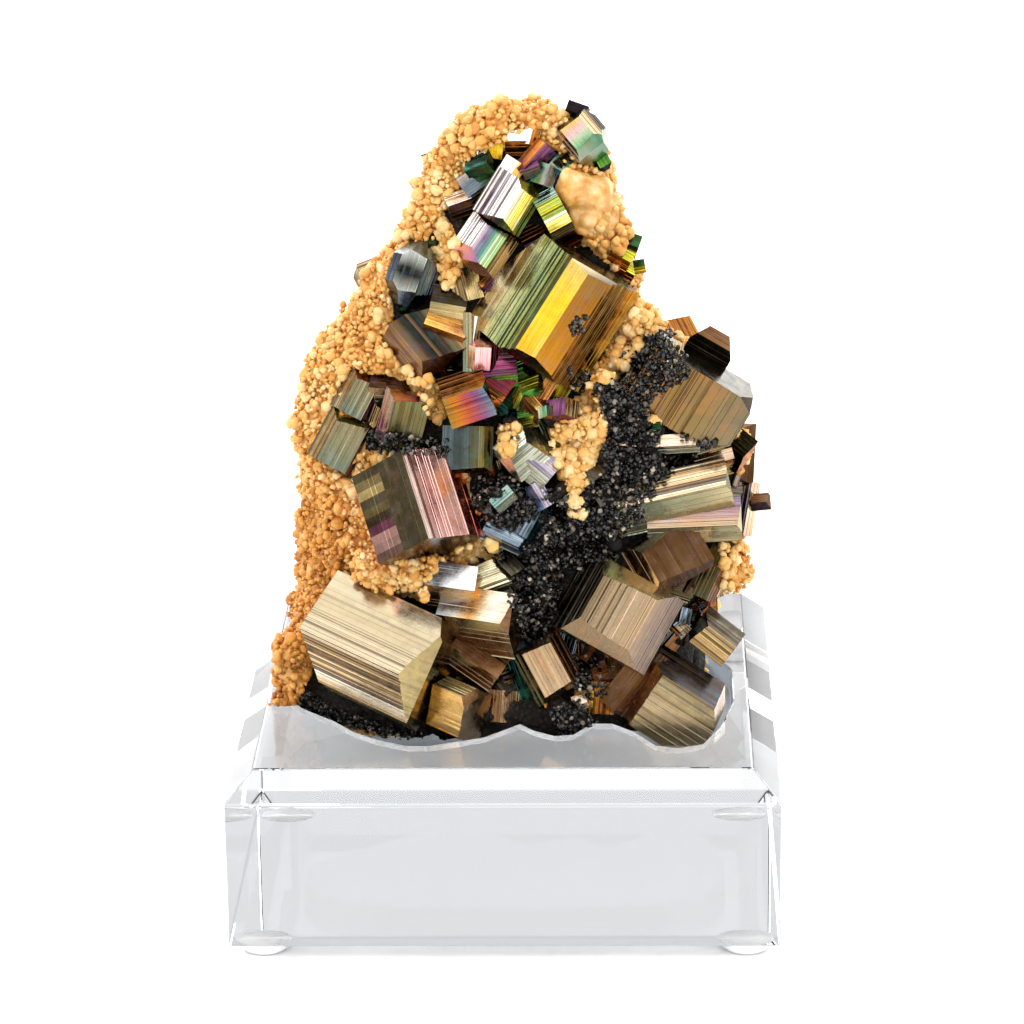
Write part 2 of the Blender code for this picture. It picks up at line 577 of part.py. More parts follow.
def keep_largest_piece(item):
    """Drop crumbs that the trimming set free and merge points that lie together."""
    bm = bmesh.new()
    bm.from_mesh(item.data)
    bmesh.ops.remove_doubles(bm, verts=bm.verts[:], dist=2e-6)
    bmesh.ops.dissolve_degenerate(bm, edges=bm.edges[:], dist=2e-6)
    left = set(bm.verts)
    pieces = []
    while left:
        stack = [left.pop()]
        piece = set(stack)
        while stack:
            for edge in stack.pop().link_edges:
                for vert in edge.verts:
                    if vert in left:
                        left.remove(vert)
                        piece.add(vert)
                        stack.append(vert)
        pieces.append(piece)
    pieces.sort(key=len)
    for piece in pieces[:-1]:
        bmesh.ops.delete(bm, geom=list(piece), context='VERTS')
    bmesh.ops.triangulate(bm, faces=bm.faces[:])
    bm.to_mesh(item.data)
    bm.free()


def make_block(collection, cutters):
    """Acrylic block: a box with its four top edges bevelled and the seat ground out."""
    bm = bmesh.new()
    bmesh.ops.create_cube(bm, size=1.0)
    size = (BLOCK_SIDE * MM, BLOCK_SIDE * MM, BLOCK_HEIGHT * MM)
    bmesh.ops.scale(bm, vec=size, verts=bm.verts[:])
    middle = (BLOCK_BOTTOM + BLOCK_TOP) / 2
    bmesh.ops.translate(bm, vec=(0, 0, middle * MM), verts=bm.verts[:])
    top = [edge for edge in bm.edges if all(vert.co.z > middle * MM for vert in edge.verts)]
    bmesh.ops.bevel(bm, geom=top, offset=BLOCK_BEVEL * MM, segments=1, affect='EDGES')
    block = new_object("display_block", bm, collection)
    seat = seat_prism("seat_cutter", 0, SEAT_FLOOR, BLOCK_TOP + 5, cutters)
    cut_with(block, seat)
    block.data.materials.append(
        principled("cast_acrylic", (0.97, 0.98, 0.99), 0.03, transmission=1.0, ior=1.49))
    return block


def make_feet(collection):
    """Four domed stick-on feet, a turned profile each, pressed flat where they stand."""
    clear = principled("clear_polyurethane", (0.93, 0.94, 0.94), 0.12, transmission=0.9, ior=1.5)
    reach = BLOCK_SIDE / 2 - FOOT_INSET
    radius, face = FOOT_DIAMETER / 2, FOOT_FACE_DIAMETER / 2
    top = BLOCK_BOTTOM - TOUCH_GAP
    for side, x in (("left", -reach), ("right", reach)):
        for end, y in (("front", -reach), ("back", reach)):
            bm = bmesh.new()
            profile = [(face, 0), (0.93 * radius, 0.45 * top), (radius, 0.8 * top), (radius, top)]
            rings = []
            for wide, height in profile:
                circle = bmesh.ops.create_circle(bm, segments=20, radius=wide * MM)
                bmesh.ops.translate(bm, vec=(0, 0, height * MM), verts=circle["verts"])
                rings.append(circle["verts"])
            for low, high in zip(rings, rings[1:]):
                for step in range(len(low)):
                    after = (step + 1) % len(low)
                    bm.faces.new((low[step], low[after], high[after], high[step]))
            bm.faces.new(list(reversed(rings[0])))
            bm.faces.new(rings[-1])
            bmesh.ops.recalc_face_normals(bm, faces=bm.faces[:])
            foot = new_object("foot_%s_%s" % (end, side), bm, collection)
            foot.location = (x * MM, y * MM, 0)
            foot.data.shade_smooth()
            foot.data.set_sharp_from_angle(angle=math.radians(40))
            foot.data.materials.append(clear)


def main():
    remove_everything()
    parts = new_collection("iridescent_pyrite")
    cutters = new_collection("cutters", hidden=True)
    make_specimen(parts, cutters)
    make_block(parts, cutters)
    make_feet(parts)


main()
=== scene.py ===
# %% [markdown]
# # Iridescent pyrite on a clear block
# The object is a cabinet specimen: striated crystals of tarnished pyrite, grown together on a
# matrix with a knobbly honey calcite crust and a black granular crust, set in a clear acrylic
# display block on four soft feet. The CAD model is the fixed frame. It gives every place and
# size, and the cells below grow the fine surface on it.

# %% Load the frame
import itertools
import math
import random

import bmesh
import bpy
import numpy as np
from mathutils import Matrix, Vector, noise
from mathutils.bvhtree import BVHTree


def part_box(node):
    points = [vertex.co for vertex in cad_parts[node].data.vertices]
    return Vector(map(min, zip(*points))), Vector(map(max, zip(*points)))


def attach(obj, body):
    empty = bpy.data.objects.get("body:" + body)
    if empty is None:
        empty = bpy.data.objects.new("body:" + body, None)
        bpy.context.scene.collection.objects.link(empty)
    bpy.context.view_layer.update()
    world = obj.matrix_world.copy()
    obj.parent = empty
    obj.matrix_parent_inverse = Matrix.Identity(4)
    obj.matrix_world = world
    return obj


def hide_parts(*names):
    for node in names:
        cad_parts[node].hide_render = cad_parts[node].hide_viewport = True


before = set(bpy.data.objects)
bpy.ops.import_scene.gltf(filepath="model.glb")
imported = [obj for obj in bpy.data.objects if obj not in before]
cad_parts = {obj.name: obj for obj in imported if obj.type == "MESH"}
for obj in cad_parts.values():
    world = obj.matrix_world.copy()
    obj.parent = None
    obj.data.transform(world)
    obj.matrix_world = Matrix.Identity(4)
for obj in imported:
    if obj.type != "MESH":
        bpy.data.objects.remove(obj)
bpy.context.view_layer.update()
MM = 0.001
BODY = "root"
print("nodes:", sorted(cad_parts))

# %% [markdown]
# ## The camera
# The photo was taken from in front and a little above with a long lens. Its tilt, turn and
# distance were worked out from the corners of the clear block, whose size is known, so the
# same values put this camera where that one stood.

# %% Camera at the photo's viewpoint
CAMERA_PLACE = np.array((18.0, -549.2, 244.5)) * MM
CAMERA_PITCH = math.radians(19.3)
CAMERA_YAW = math.radians(-1.8)
CAMERA_ROLL = math.radians(-0.83)
CAMERA_LENS = 143.8
SENSOR = 36.0
IMAGE_SIZE = 1024


def camera_axes():
    """Right, up and forward of the camera: turned by yaw, tipped by pitch, then rolled."""
    right = np.array((math.cos(CAMERA_YAW), -math.sin(CAMERA_YAW), 0.0))
    level = np.array((math.sin(CAMERA_YAW), math.cos(CAMERA_YAW), 0.0))
    forward = math.cos(CAMERA_PITCH) * level - math.sin(CAMERA_PITCH) * np.array((0, 0, 1.0))
    up = np.cross(right, forward)
    cos_roll, sin_roll = math.cos(CAMERA_ROLL), math.sin(CAMERA_ROLL)
    return right * cos_roll + up * sin_roll, up * cos_roll - right * sin_roll, forward


RIGHT, UP, FORWARD = camera_axes()
FOCAL_PIXELS = CAMERA_LENS / SENSOR * IMAGE_SIZE


def to_pixels(points):
    """Where points in metres fall in the photo: x and y in pixels, and the distance."""
    away = points - CAMERA_PLACE
    deep = away @ FORWARD
    across = IMAGE_SIZE / 2 + FOCAL_PIXELS * (away @ RIGHT) / deep
    down = IMAGE_SIZE / 2 - FOCAL_PIXELS * (away @ UP) / deep
    return np.stack([across, down], 1), deep


def pixel_direction(across, down):
    """Direction of the ray from the camera through a pixel."""
    ray = FORWARD + RIGHT * (across - IMAGE_SIZE / 2) / FOCAL_PIXELS
    return ray - UP * (down - IMAGE_SIZE / 2) / FOCAL_PIXELS


camera_data = bpy.data.cameras.new("camera")
camera_data.lens = CAMERA_LENS
camera_data.sensor_width = SENSOR
camera_data.clip_end = 20.0
camera = bpy.data.objects.new("camera", camera_data)
turn = Matrix((RIGHT, UP, -FORWARD)).transposed().to_4x4()
camera.matrix_world = Matrix.Translation(Vector(CAMERA_PLACE)) @ turn
bpy.context.scene.collection.objects.link(camera)
bpy.context.scene.camera = camera
print("camera %.0f mm away" % (np.linalg.norm(CAMERA_PLACE) / MM))

# %% [markdown]
# ## Small helpers
# A colour is written as the hex value that a screen shows, and one function turns it to the
# linear light that Blender works in. One function adds a node with its settings and its links.

# %% Helpers for colours, nodes and meshes


def linear(hex_colour):
    """sRGB hex to linear light: divide by 12.92 near black, else a 2.4 power curve."""
    value = np.array([int(hex_colour[i:i + 2], 16) / 255 for i in (1, 3, 5)])
    return np.where(value <= 0.04045, value / 12.92, ((value + 0.055) / 1.055) ** 2.4)


def rgba(hex_colour):
    return (*linear(hex_colour), 1.0)


def feed(tree, node, inputs):
    """Set inputs of a node: each to a value, or link it from the socket that feeds it."""
    for name, value in inputs.items():
        if isinstance(value, bpy.types.NodeSocket):
            tree.links.new(value, node.inputs[name])
        else:
            node.inputs[name].default_value = value


def add_node(tree, kind, inputs=None, stops=(), **settings):
    """Add a node: settings are its properties, inputs are as above, and stops are the places
    and hex colours of a colour ramp, in rising order."""
    node = tree.nodes.new(kind)
    for name, value in settings.items():
        setattr(node, name, value)
    feed(tree, node, inputs or {})
    for index, (place, hex_colour) in enumerate(stops):
        elements = node.color_ramp.elements
        element = elements[index] if index < 2 else elements.new(place)
        element.position = place
        element.color = rgba(hex_colour)
    return node


def new_material(name):
    """An empty material with its shader and its node tree."""
    material = bpy.data.materials.new(name)
    material.use_nodes = True
    tree = material.node_tree
    return material, tree, tree.nodes["Principled BSDF"]


def show(name, data):
    """Put a mesh or a light in the scene as an object at the origin."""
    piece = bpy.data.objects.new(name, data)
    bpy.context.scene.collection.objects.link(piece)
    return piece


def new_piece(name, points, faces, material, smooth=False):
    """Put arrays of points and faces in a mesh that rides on the object's one body."""
    mesh = bpy.data.meshes.new(name)
    mesh.from_pydata(np.asarray(points).tolist(), [], [list(face) for face in faces])
    mesh.update()
    if smooth:
        mesh.shade_smooth()
    mesh.materials.append(material)
    piece = show(name, mesh)
    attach(piece, BODY)
    return piece


print("mid grey is", linear("#808080").round(3))

# %% [markdown]
# ## The floor
# The object stands on plain pale paper. A plane with four corners would do, but a round sheet
# has no corner that could show at the edge of the picture from another side.

# %% Paper floor
FLOOR_RADIUS = 2.4
# Just below the feet, in millimetres, so that no two faces share one plane
FLOOR_LEVEL = -0.05


def floor_surface(rings, spokes):
    """Flat disc: radius grows with the square of the ring, angle with the spoke."""
    radius = FLOOR_RADIUS * (np.arange(1, rings + 1) / rings) ** 2
    angle = np.arange(spokes) / spokes * 2 * math.pi
    disc = np.stack([np.outer(radius, np.cos(angle)), np.outer(radius, np.sin(angle))], -1)
    points = np.concatenate([np.zeros((1, 2)), disc.reshape(-1, 2)])
    points = np.concatenate([points, np.full((len(points), 1), FLOOR_LEVEL * MM)], 1)
    step = np.arange(spokes)
    after = (step + 1) % spokes
    faces = [np.stack([0 * step, 1 + step, 1 + after], 1).tolist()]
    for ring in range(rings - 1):
        low, high = 1 + ring * spokes, 1 + (ring + 1) * spokes
        faces.append(np.stack([low + step, high + step, high + after, low + after], 1).tolist())
    return points, [face for group in faces for face in group]


# Matt white paper from a roll: rough fibres scatter the light, so it shows no reflection
floor_material, floor_tree, floor_shader = new_material("matt_white_paper")
floor_place = add_node(floor_tree, "ShaderNodeTexCoord").outputs["Object"]
floor_grain = add_node(floor_tree, "ShaderNodeTexNoise", {"Vector": floor_place, "Scale": 9.0})
floor_colour = add_node(floor_tree, "ShaderNodeValToRGB", {"Fac": floor_grain.outputs["Fac"]},
                        [(0.3, "#F6F6F7"), (0.7, "#FBFBFB")])
feed(floor_tree, floor_shader, {"Base Color": floor_colour.outputs["Color"], "Roughness": 0.6})
floor_points, floor_faces = floor_surface(10, 64)
floor_mesh = bpy.data.meshes.new("studio_floor")
floor_mesh.from_pydata(floor_points.tolist(), [], floor_faces)
floor_mesh.materials.append(floor_material)
floor = show("studio_floor", floor_mesh)
print("floor:", len(floor_faces), "faces")

# %% [markdown]
# ## The light
# A photographer lights such a thing with large soft sources, so that each flat face shows one
# even reflection, and lets some dark into the room, so that neighbouring faces differ. Area
# lights are those sources, and a world that is darker near the horizon is that room.

# %% Lights and room


def softbox(name, place, aim_height, size, watts):
    """A rectangular area light that faces a height on the object's axis, in millimetres."""
    data = bpy.data.lights.new(name, 'AREA')
    data.shape = 'RECTANGLE'
    data.size, data.size_y = size[0] * MM, size[1] * MM
    data.energy = watts
    light = show(name, data)
    light.location = Vector(place) * MM
    aim = Vector((0, 0, aim_height)) * MM - light.location
    light.rotation_euler = aim.to_track_quat('-Z', 'Y').to_euler()


softbox("overhead", (60, -60, 1000), 40, (1500, 1100), 6.4)
softbox("front_high", (0, -600, 690), 60, (520, 260), 0.85)
softbox("front_left", (-600, -450, 430), 60, (260, 320), 0.3)
softbox("front_low_left", (-400, -800, 200), 60, (420, 340), 0.45)
softbox("front_right", (720, -480, 460), 60, (420, 800), 2.8)
softbox("left_high", (-720, -60, 560), 60, (420, 800), 2.4)
softbox("behind_right", (480, 620, 460), 60, (800, 500), 4.6)
softbox("behind_left", (-480, 620, 460), 60, (800, 500), 3.8)

world = bpy.data.worlds.new("studio_room")
world.use_nodes = True
bpy.context.scene.world = world
room = world.node_tree
room_direction = add_node(room, "ShaderNodeTexCoord").outputs["Generated"]
room_axes = add_node(room, "ShaderNodeSeparateXYZ", {"Vector": room_direction})
room_height = add_node(room, "ShaderNodeMapRange", {
    "Value": room_axes.outputs["Z"], "From Min": -0.2, "From Max": 0.9})
room_shade = add_node(room, "ShaderNodeValToRGB", {"Fac": room_height.outputs["Result"]}, [
    (0.0, "#E8E8E8"), (0.2, "#CFCFD1"), (0.42, "#CACACC"), (0.62, "#E6E6E6"), (0.8, "#FFFFFF")])
feed(room, room.nodes["Background"], {"Color": room_shade.outputs["Color"], "Strength": 1.15})
bpy.context.scene.view_settings.view_transform = 'Standard'
print("lights:", len(bpy.data.lights))

# %% [markdown]
# ## The crystals
# Pyrite grows as cubes and stubby prisms whose faces carry fine parallel grooves, because the
# growing crystal kept switching between two face directions. Each row of the table is one
# crystal as it looks from the front: where its middle is, how its axis leans and tips, how long
# it is, which way its side faces turn and how wide they are, the bevels on its ends, and the
# looks of its faces, which the next cell gives.

# %% Table of the crystals, in millimetres and degrees
# The front is seen with the camera's pitch, and without its small yaw and roll
VIEW_RIGHT = np.array((1.0, 0.0, 0.0))
VIEW_UP = np.array((0.0, math.sin(CAMERA_PITCH), math.cos(CAMERA_PITCH)))
TO_VIEWER = np.array((0.0, -math.cos(CAMERA_PITCH), math.sin(CAMERA_PITCH)))
# Name, middle, lean, out, length, side faces (angle, width), bevels (end, angle, tilt, cut),
# and the looks of the side faces in that order, of the plus end and of the minus end
CRYSTALS = [
    ("crest_rainbow", (11.5, 0, 107), -51, 20, 6.2, [(-75, 3), (-35, 1.6), (5, 3.2), (60, 1.6)],
     [(1, 0, 40, 1), (1, -90, 56, 1.4), (-1, 0, 40, 1.2), (-1, -90, 35, 1)],
     "olive_dark tan_bars rainbow tan_bars", "green_steel", "olive_dark"),
    ("crest_dark_chip", (10.5, 2, 110), -20, 0, 3.2, [(-20, 1.5), (50, 1.2)], [(1, 0, 35, 0.5)],
     "soot olive_dark", "olive", "soot"),
    ("crest_green_chip", (13.5, 1, 103.5), -62, 0, 3.8, [(0, 1.8), (60, 1.4)], [(1, 0, 35, 0.5)],
     "green soot", "soot", "dark_green"),
    ("white_stripes", (1, -3, 98.5), 58, 5, 7, [(-25, 4.9), (30, 2.4), (60, 2)],
     [(1, 40, 40, 1), (-1, 0, 35, 1)], "white_bars yellow_bars lime_bars", "yellow", "violet_green"),
    ("white_cap", (1.5, -2, 103), 58, 5, 2.5, [(-25, 2.2), (40, 1.6)], [], "white gold", "white", "gold"),
    ("violet_band", (-2.5, -4, 92.5), 57, -20, 6.5, [(-35, 3.2), (15, 3.5), (50, 2.5)],
     [(1, 0, 40, 1), (-1, -40, 35, 1.2)], "white_bars violet_teal gold_bars", "violet_green",
     "rose_gold"),
    ("grey_wedge", (-3.5, 0, 100.5), 33, 0, 4.4, [(-45, 1.6), (15, 2), (60, 1.5)], [],
     "steel_pale steel slate_bars", "steel", "white"),
    ("dark_cap", (-6, -0.5, 97.5), 20, -10, 3.5, [(-45, 2.6), (35, 2.4)], [], "white dark_brown",
     "olive_dark", "steel"),
    ("steel_dodecahedron", (-12.5, -2, 88), 70, 0, 9.4, [(-60, 2.6), (-10, 3.6), (45, 3)],
     [(1, -60, 50, 1.8), (1, 60, 50, 2), (-1, -60, 50, 1.8),
     (-1, 60, 50, 1.8), (1, 0, 45, 1.6), (-1, 0, 45, 1.6)], "steel_dark steel_cavity slate_bars",
     "slate_bars", "steel_dark"),
    ("brass_stub_right", (-5.5, -3, 86.5), -75, 0, 4.6, [(-30, 2.6), (30, 3)], [],
     "plain_brass gold_bars", "tan", "white"),
    ("brass_stub_left", (-7.5, -4, 84), -10, 0, 5, [(-30, 3), (30, 3)], [], "olive_dark plain_brass",
     "olive", "olive"),
    ("peacock_block", (-11, -6, 79), -50, 15, 9, [(-25, 6.5), (50, 4)],
     [(1, 0, 35, 1.5), (-1, -60, 30, 1.2)], "peacock_brown brown", "dark_brown", "peacock"),
    ("gold_step", (-8, -4.5, 80.5), -20, 0, 6, [(-35, 4), (45, 4)], [], "gold orange", "copper",
     "olive_dark"),
    ("pale_blade", (-4.5, -7, 79.5), 90, 0, 8.2, [(-20, 1.3), (35, 0.9)], [(1, 90, 30, 0.5)], "sage tan",
     "sage", "sage"),
    ("pale_blade_right", (-4, -6.5, 80.5), 80, 0, 5, [(-20, 1.2), (40, 1)], [], "white tan", "white",
     "tan"),
    ("pink_block", (-2.5, -8, 78), 85, 30, 3.6, [(-35, 1.2), (5, 2.2), (60, 2.5)], [],
     "tan pink dark_red", "pink", "dark_red"),
    ("magenta_stack", (-1, -7, 75), 5, 0, 6, [(-10, 4), (45, 4)], [], "magenta green", "plum", "magenta"),
    ("dark_red_chip", (-1.5, -8, 73.5), -35, 0, 5, [(-15, 3), (40, 3)], [], "dark_red orange", "dark_red",
     "dark_red"),
    ("great_prism", (7, -5, 84), 57, 10, 16.2, [(-45, 11.7), (-10, 3.05), (27, 3.6), (55, 7)],
     [(1, 20, 20, 0.6), (1, -90, 70, 2.8), (-1, 0, 35, 1.6)], "green_bars yellow amber brown_bars",
     "prism_end", "prism_foot"),
    ("strip_behind_prism", (14.5, 1, 88.5), -30, 0, 8.5, [(-40, 1.5), (30, 2)], [], "yellow_green copper",
     "yellow_green", "copper"),
    ("right_edge_top", (17.5, 0, 91.5), -20, 0, 3, [(-30, 2), (40, 2)], [], "dark_green olive_dark",
     "dark_green", "olive"),
    ("right_edge_gold", (16.5, -1, 90), -30, 0, 3.2, [(-30, 2.2), (40, 2)], [], "yellow_green orange",
     "gold", "green"),
    ("right_edge_tip", (19, -1, 88.5), 10, 0, 1.6, [(-30, 1.2), (40, 1.2)], [], "dark_green yellow_green",
     "dark_green", "dark_green"),
    ("lime_stripes", (7, -3, 97), 28, 0, 3.4, [(-55, 3.5), (-10, 2.5), (30, 2), (60, 2)], [],
     "teal_pale lime_bars yellow_bars olive", "olive", "teal_pale"),
    ("plum_blade", (5, -1, 104), 48, 0, 4.5, [(-35, 1.8), (40, 3)], [], "copper plum", "plum", "plum"),
    ("plum_chip", (4, -2, 103), 20, 0, 2.5, [(-30, 1.8), (45, 1.6)], [], "plum violet_bars", "plum",
     "plum"),
    ("moss_chip", (6, -2, 102), 70, 0, 3, [(-30, 2), (45, 2)], [], "green_steel steel", "olive",
     "dark_green"),
    ("white_flash", (2, 0, 106), 0, 0, 3, [(-15, 1.6), (50, 3)], [], "white orange", "gold", "white"),
    ("white_flash_small", (4, 0, 107), 75, 0, 2.4, [(-25, 1.6), (45, 1.6)], [], "white gold", "gold",
     "white"),
    ("yellow_chip", (-1.5, 0, 105.5), 80, 0, 3, [(-35, 1.6), (20, 2.4)], [], "white yellow", "gold",
     "olive"),
    ("sage_prism_low", (-22.5, -5, 64.5), 62, 0, 8, [(-50, 2.8), (15, 4.5), (70, 4)], [(1, 0, 40, 1.5)],
     "gold_bars sage plum", "sage", "olive"),
    ("sage_prism_high", (-20, -4, 71), 62, 0, 6.5, [(-50, 2.8), (10, 3.2), (60, 3)], [(1, 0, 40, 1.2)],
     "olive_bars sage plum", "brown", "olive"),
    ("brown_bridge", (-16, -5, 72), -5, 0, 5.5, [(-30, 2.5), (40, 3)], [], "dark_brown tan", "brown",
     "olive_dark"),
    ("rainbow_strip", (-14, -9, 69), 75, 15, 7.5, [(-60, 3.2), (15, 5.2)], [(1, 0, 30, 1)],
     "rainbow_strip olive", "rose_gold", "olive"),
    ("slate_cube", (-5, -11, 65), 88, 0, 6.8, [(-10, 6), (40, 1.5)], [(-1, 0, 30, 1)], "slate olive",
     "slate", "olive"),
    ("sunset_cube", (-5, -10, 72.5), 18, 0, 6.5, [(-50, 5), (25, 4.6)], [(1, 0, 25, 0.6)],
     "amber_bars sunset", "blue", "olive"),
    ("pink_cube", (-12, -13, 57.5), 108, -12, 13, [(-36, 9.8), (46, 7.6), (68, 4.2)], [],
     "cube_brown pink_bars red", "olive", "dark_brown"),
    ("cream_block", (-18, -15.5, 37), -24, 20, 19, [(-25, 10.2), (30, 7), (80, 5)],
     [(1, 0, 35, 2.2), (1, -90, 30, 1.5), (-1, 80, 40, 3.4)], "cream cream_bars olive", "plain_brass",
     "cream_bars"),
    ("golden_foot", (-6.5, -19, 29.5), -22, 27, 5.6, [(-62, 3.6), (22, 6), (85, 4)], [(1, -60, 25, 0.6)],
     "sage gold brown", "tan", "olive_dark"),
    ("brown_shadow", (-4, -16, 36), -35, 0, 8, [(-30, 4), (40, 3)], [], "brown roof_side", "soot",
     "dark_brown"),
    ("pale_roof_left", (-7.5, -15, 46.5), -8, 0, 7, [(-26, 3.8), (50, 4.4)], [], "roof_blue roof_side",
     "tan", "blue"),
    ("pale_roof_low", (-3.5, -16, 41.5), -8, 18, 10.5, [(-24, 4.8), (50, 7.4)], [(1, 0, 30, 0.8)],
     "roof_bright roof_side", "brown", "pale_tan"),
    ("speckled_roof", (-2, -13, 46), 20, 0, 6, [(-20, 4), (50, 4)], [], "speckled speckled", "speckled",
     "plain_brass"),
    ("bronze_block", (15.5, -14, 42), 60.7, -8, 11.8, [(-60, 7), (5, 8.2), (40, 4.7)],
     [(1, 0, 45, 2), (-1, 0, 40, 1.8)], "soot_speckled tan_bars violet_bars", "speckled", "tan"),
    ("tan_prism", (6, -16, 34.5), -62, 0, 8.4, [(-55, 3), (8, 4.4), (60, 3)],
     [(1, 0, 30, 1), (-1, 0, 30, 1)], "brown tan olive", "tan", "pale_tan"),
    ("tan_prism_edge", (4, -15, 32.5), -72, 0, 8.6, [(-20, 2.4), (50, 4)], [], "amber_bars peacock",
     "teal_pale", "tan"),
    ("amber_stub", (12.5, -17, 30.5), 85, 0, 4.5, [(-25, 3), (20, 3.2)], [], "brown_bars amber_bars",
     "olive_dark", "olive"),
    ("amber_chip", (10.5, -18, 30), 20, 0, 2, [(-25, 1.5), (40, 1.5)], [], "pale_tan pale_tan", "tan",
     "tan"),
    ("olive_block", (24, -16, 29), -33, -3, 12.2, [(-60, 7), (10, 8.6)],
     [(1, -60, 35, 1.4), (-1, 10, 35, 1.6)], "soot_bars olive_bars", "pale_tan", "tan"),
    ("tan_strip", (18.5, -15, 32), 52, 0, 10.4, [(-20, 3), (60, 6)], [], "brown brown", "tan", "tan"),
    ("speckled_end", (29.5, -9, 36.5), -38, 0, 6.5, [(-50, 3.5), (15, 3.6)], [(-1, 0, 40, 1.2)],
     "soot_speckled gold_bars", "olive", "soot_speckled"),
    ("copper_face", (23, -11, 49), -60, 0, 8, [(-10, 8.5), (60, 5)], [(1, 0, 35, 1.5), (-1, 0, 35, 1.2)],
     "brown tan", "dark_brown", "violet_bars"),
    ("grey_flank", (29.5, -6, 45.5), 65, 0, 9, [(-10, 2.6), (60, 2.4)], [], "olive brown", "olive",
     "olive"),
    ("long_bar", (23, -10, 57.5), 12.5, 0, 17.4, [(-25, 4.2), (45, 5.6)],
     [(1, 0, 30, 0.6), (-1, 0, 35, 1.2)], "cream_bars sage", "sage", "sage"),
    ("violet_bar", (26.5, -9.5, 54), 2, 0, 13.2, [(-20, 4.2), (50, 3.4)], [(1, 0, 30, 0.6)],
     "violet_pink_bars sage", "sage", "sage"),
    ("bar_end", (34, -3, 53.5), 80, 0, 7.7, [(-20, 1.6), (55, 2.2)],
     [(1, -60, 40, 0.8), (-1, -60, 40, 0.8)], "white_bars pale_tan", "pale_tan", "pale_tan"),
    ("bronze_plate", (25.5, -7, 72), 58, 20, 9.2, [(-75, 8), (5, 16)],
     [(1, 60, 35, 1.2), (-1, 70, 35, 2)], "olive_dark bronze", "olive_dark", "pale_tan"),
    ("dark_shoulder", (29, -3, 77.5), -30, 0, 6.6, [(-45, 2.6), (30, 3.4)],
     [(1, -90, 31, 1.5), (-1, -90, 31, 1.5)], "brown olive_dark", "soot_speckled", "soot"),
    ("brown_edge", (33.5, -1, 61), 87, 0, 8.6, [(-45, 2.2), (35, 2.2)],
     [(1, 0, 30, 0.6), (-1, 0, 30, 0.6)], "dark_brown brown", "brown", "soot"),
    ("silver_crumple", (2.5, -12, 65), 40, 0, 6, [(-30, 3), (20, 4)], [(1, 0, 40, 1.2), (-1, 0, 40, 1.2)],
     "silver silver", "silver", "teal_pale"),
    ("silver_crumple_low", (5, -12, 62.5), -40, 0, 4, [(-30, 3), (40, 3)], [], "silver_violet silver",
     "silver_violet", "silver"),
    ("bar_tip", (36, -3, 54.5), 5, 0, 2.8, [(-30, 1.5), (40, 1.5)], [(1, 0, 35, 0.6)], "brown soot",
     "brown", "soot"),
    ("pale_wedge", (29, -7, 63.5), 15, 0, 5.5, [(-30, 2.5), (40, 2)], [], "cream pale_tan", "cream",
     "cream"),
    ("tan_foot", (-0.5, -16.5, 29), 85, 0, 4.5, [(-25, 2.5), (35, 3)], [], "tan tan", "tan", "brown"),
    ("green_cluster_1", (1, -6, 76.5), 70, 0, 2.6, [(-30, 1.6), (40, 1.8)], [(1, 0, 35, 0.6)],
     "teal dark_green", "teal", "peacock"),
    ("green_cluster_2", (2, -7, 75), 20, 0, 3, [(-30, 2), (40, 2)], [(1, 0, 35, 0.6)],
     "bright_green dark_green", "green", "dark_green"),
    ("green_cluster_3", (2, -7, 73), 60, 0, 3, [(-30, 2), (40, 1.8)], [(1, 0, 35, 0.6)],
     "bright_green green", "green", "dark_green"),
    ("green_cluster_4", (0, -8, 71), -40, 0, 4, [(-30, 2.4), (40, 2.4)], [(1, 0, 35, 0.8)],
     "dark_green teal", "dark_green", "peacock"),
    ("green_cluster_5", (0.5, -8, 69.5), 30, 0, 3, [(-30, 2), (40, 2)], [(1, 0, 35, 0.6)],
     "dark_green peacock", "peacock", "dark_green"),
    ("green_cluster_6", (2.5, -8, 71.5), 65, 0, 3.2, [(-30, 2), (40, 2)], [(1, 0, 35, 0.6)],
     "yellow_green olive", "yellow", "green"),
    ("green_cluster_7", (4, -8, 73), 20, 0, 3.2, [(-30, 2), (40, 2)], [(1, 0, 35, 0.6)],
     "yellow_green green", "yellow_green", "olive"),
    ("green_cluster_8", (4.5, -8.5, 70.5), -50, 0, 4, [(-30, 2.2), (40, 2)], [(1, 0, 35, 0.6)],
     "gold amber_bars", "yellow", "olive"),
    ("green_cluster_9", (7, -8, 72.5), 58, 0, 4.2, [(-30, 2.2), (40, 2.6)], [(-1, 0, 35, 0.6)],
     "amber_bars yellow_green", "gold", "copper"),
    ("green_cluster_10", (6.5, -8, 70), 40, 0, 3.2, [(-30, 2), (40, 2)], [(1, 0, 35, 0.6)],
     "yellow_green amber", "olive", "green"),
    ("green_cluster_11", (3.5, -8.5, 69), 10, 0, 3, [(-30, 1.6), (40, 2)], [(1, 0, 35, 0.6)],
     "green yellow_green", "green", "dark_green"),
    ("green_cluster_12", (6.5, -8.5, 68.5), -20, 0, 2.4, [(-30, 1.4), (40, 1.6)], [(1, 0, 35, 0.6)],
     "yellow_green green", "gold", "green"),
    ("blue_steps", (20, -6, 78.5), 58, 0, 4.5, [(-40, 2), (20, 2.4)], [], "slate_bars steel",
     "slate_bars", "brown"),
    ("speckled_post", (23.5, -10, 78), 80, 0, 4.5, [(-30, 1.5), (30, 1.5)], [(-1, 0, 35, 0.5)],
     "speckled plain_brass", "speckled", "steel_pale"),
    ("tan_sliver", (17.5, -9, 74), 45, 0, 3, [(-30, 1.3), (30, 1.2)], [], "tan pale_tan", "tan", "tan"),
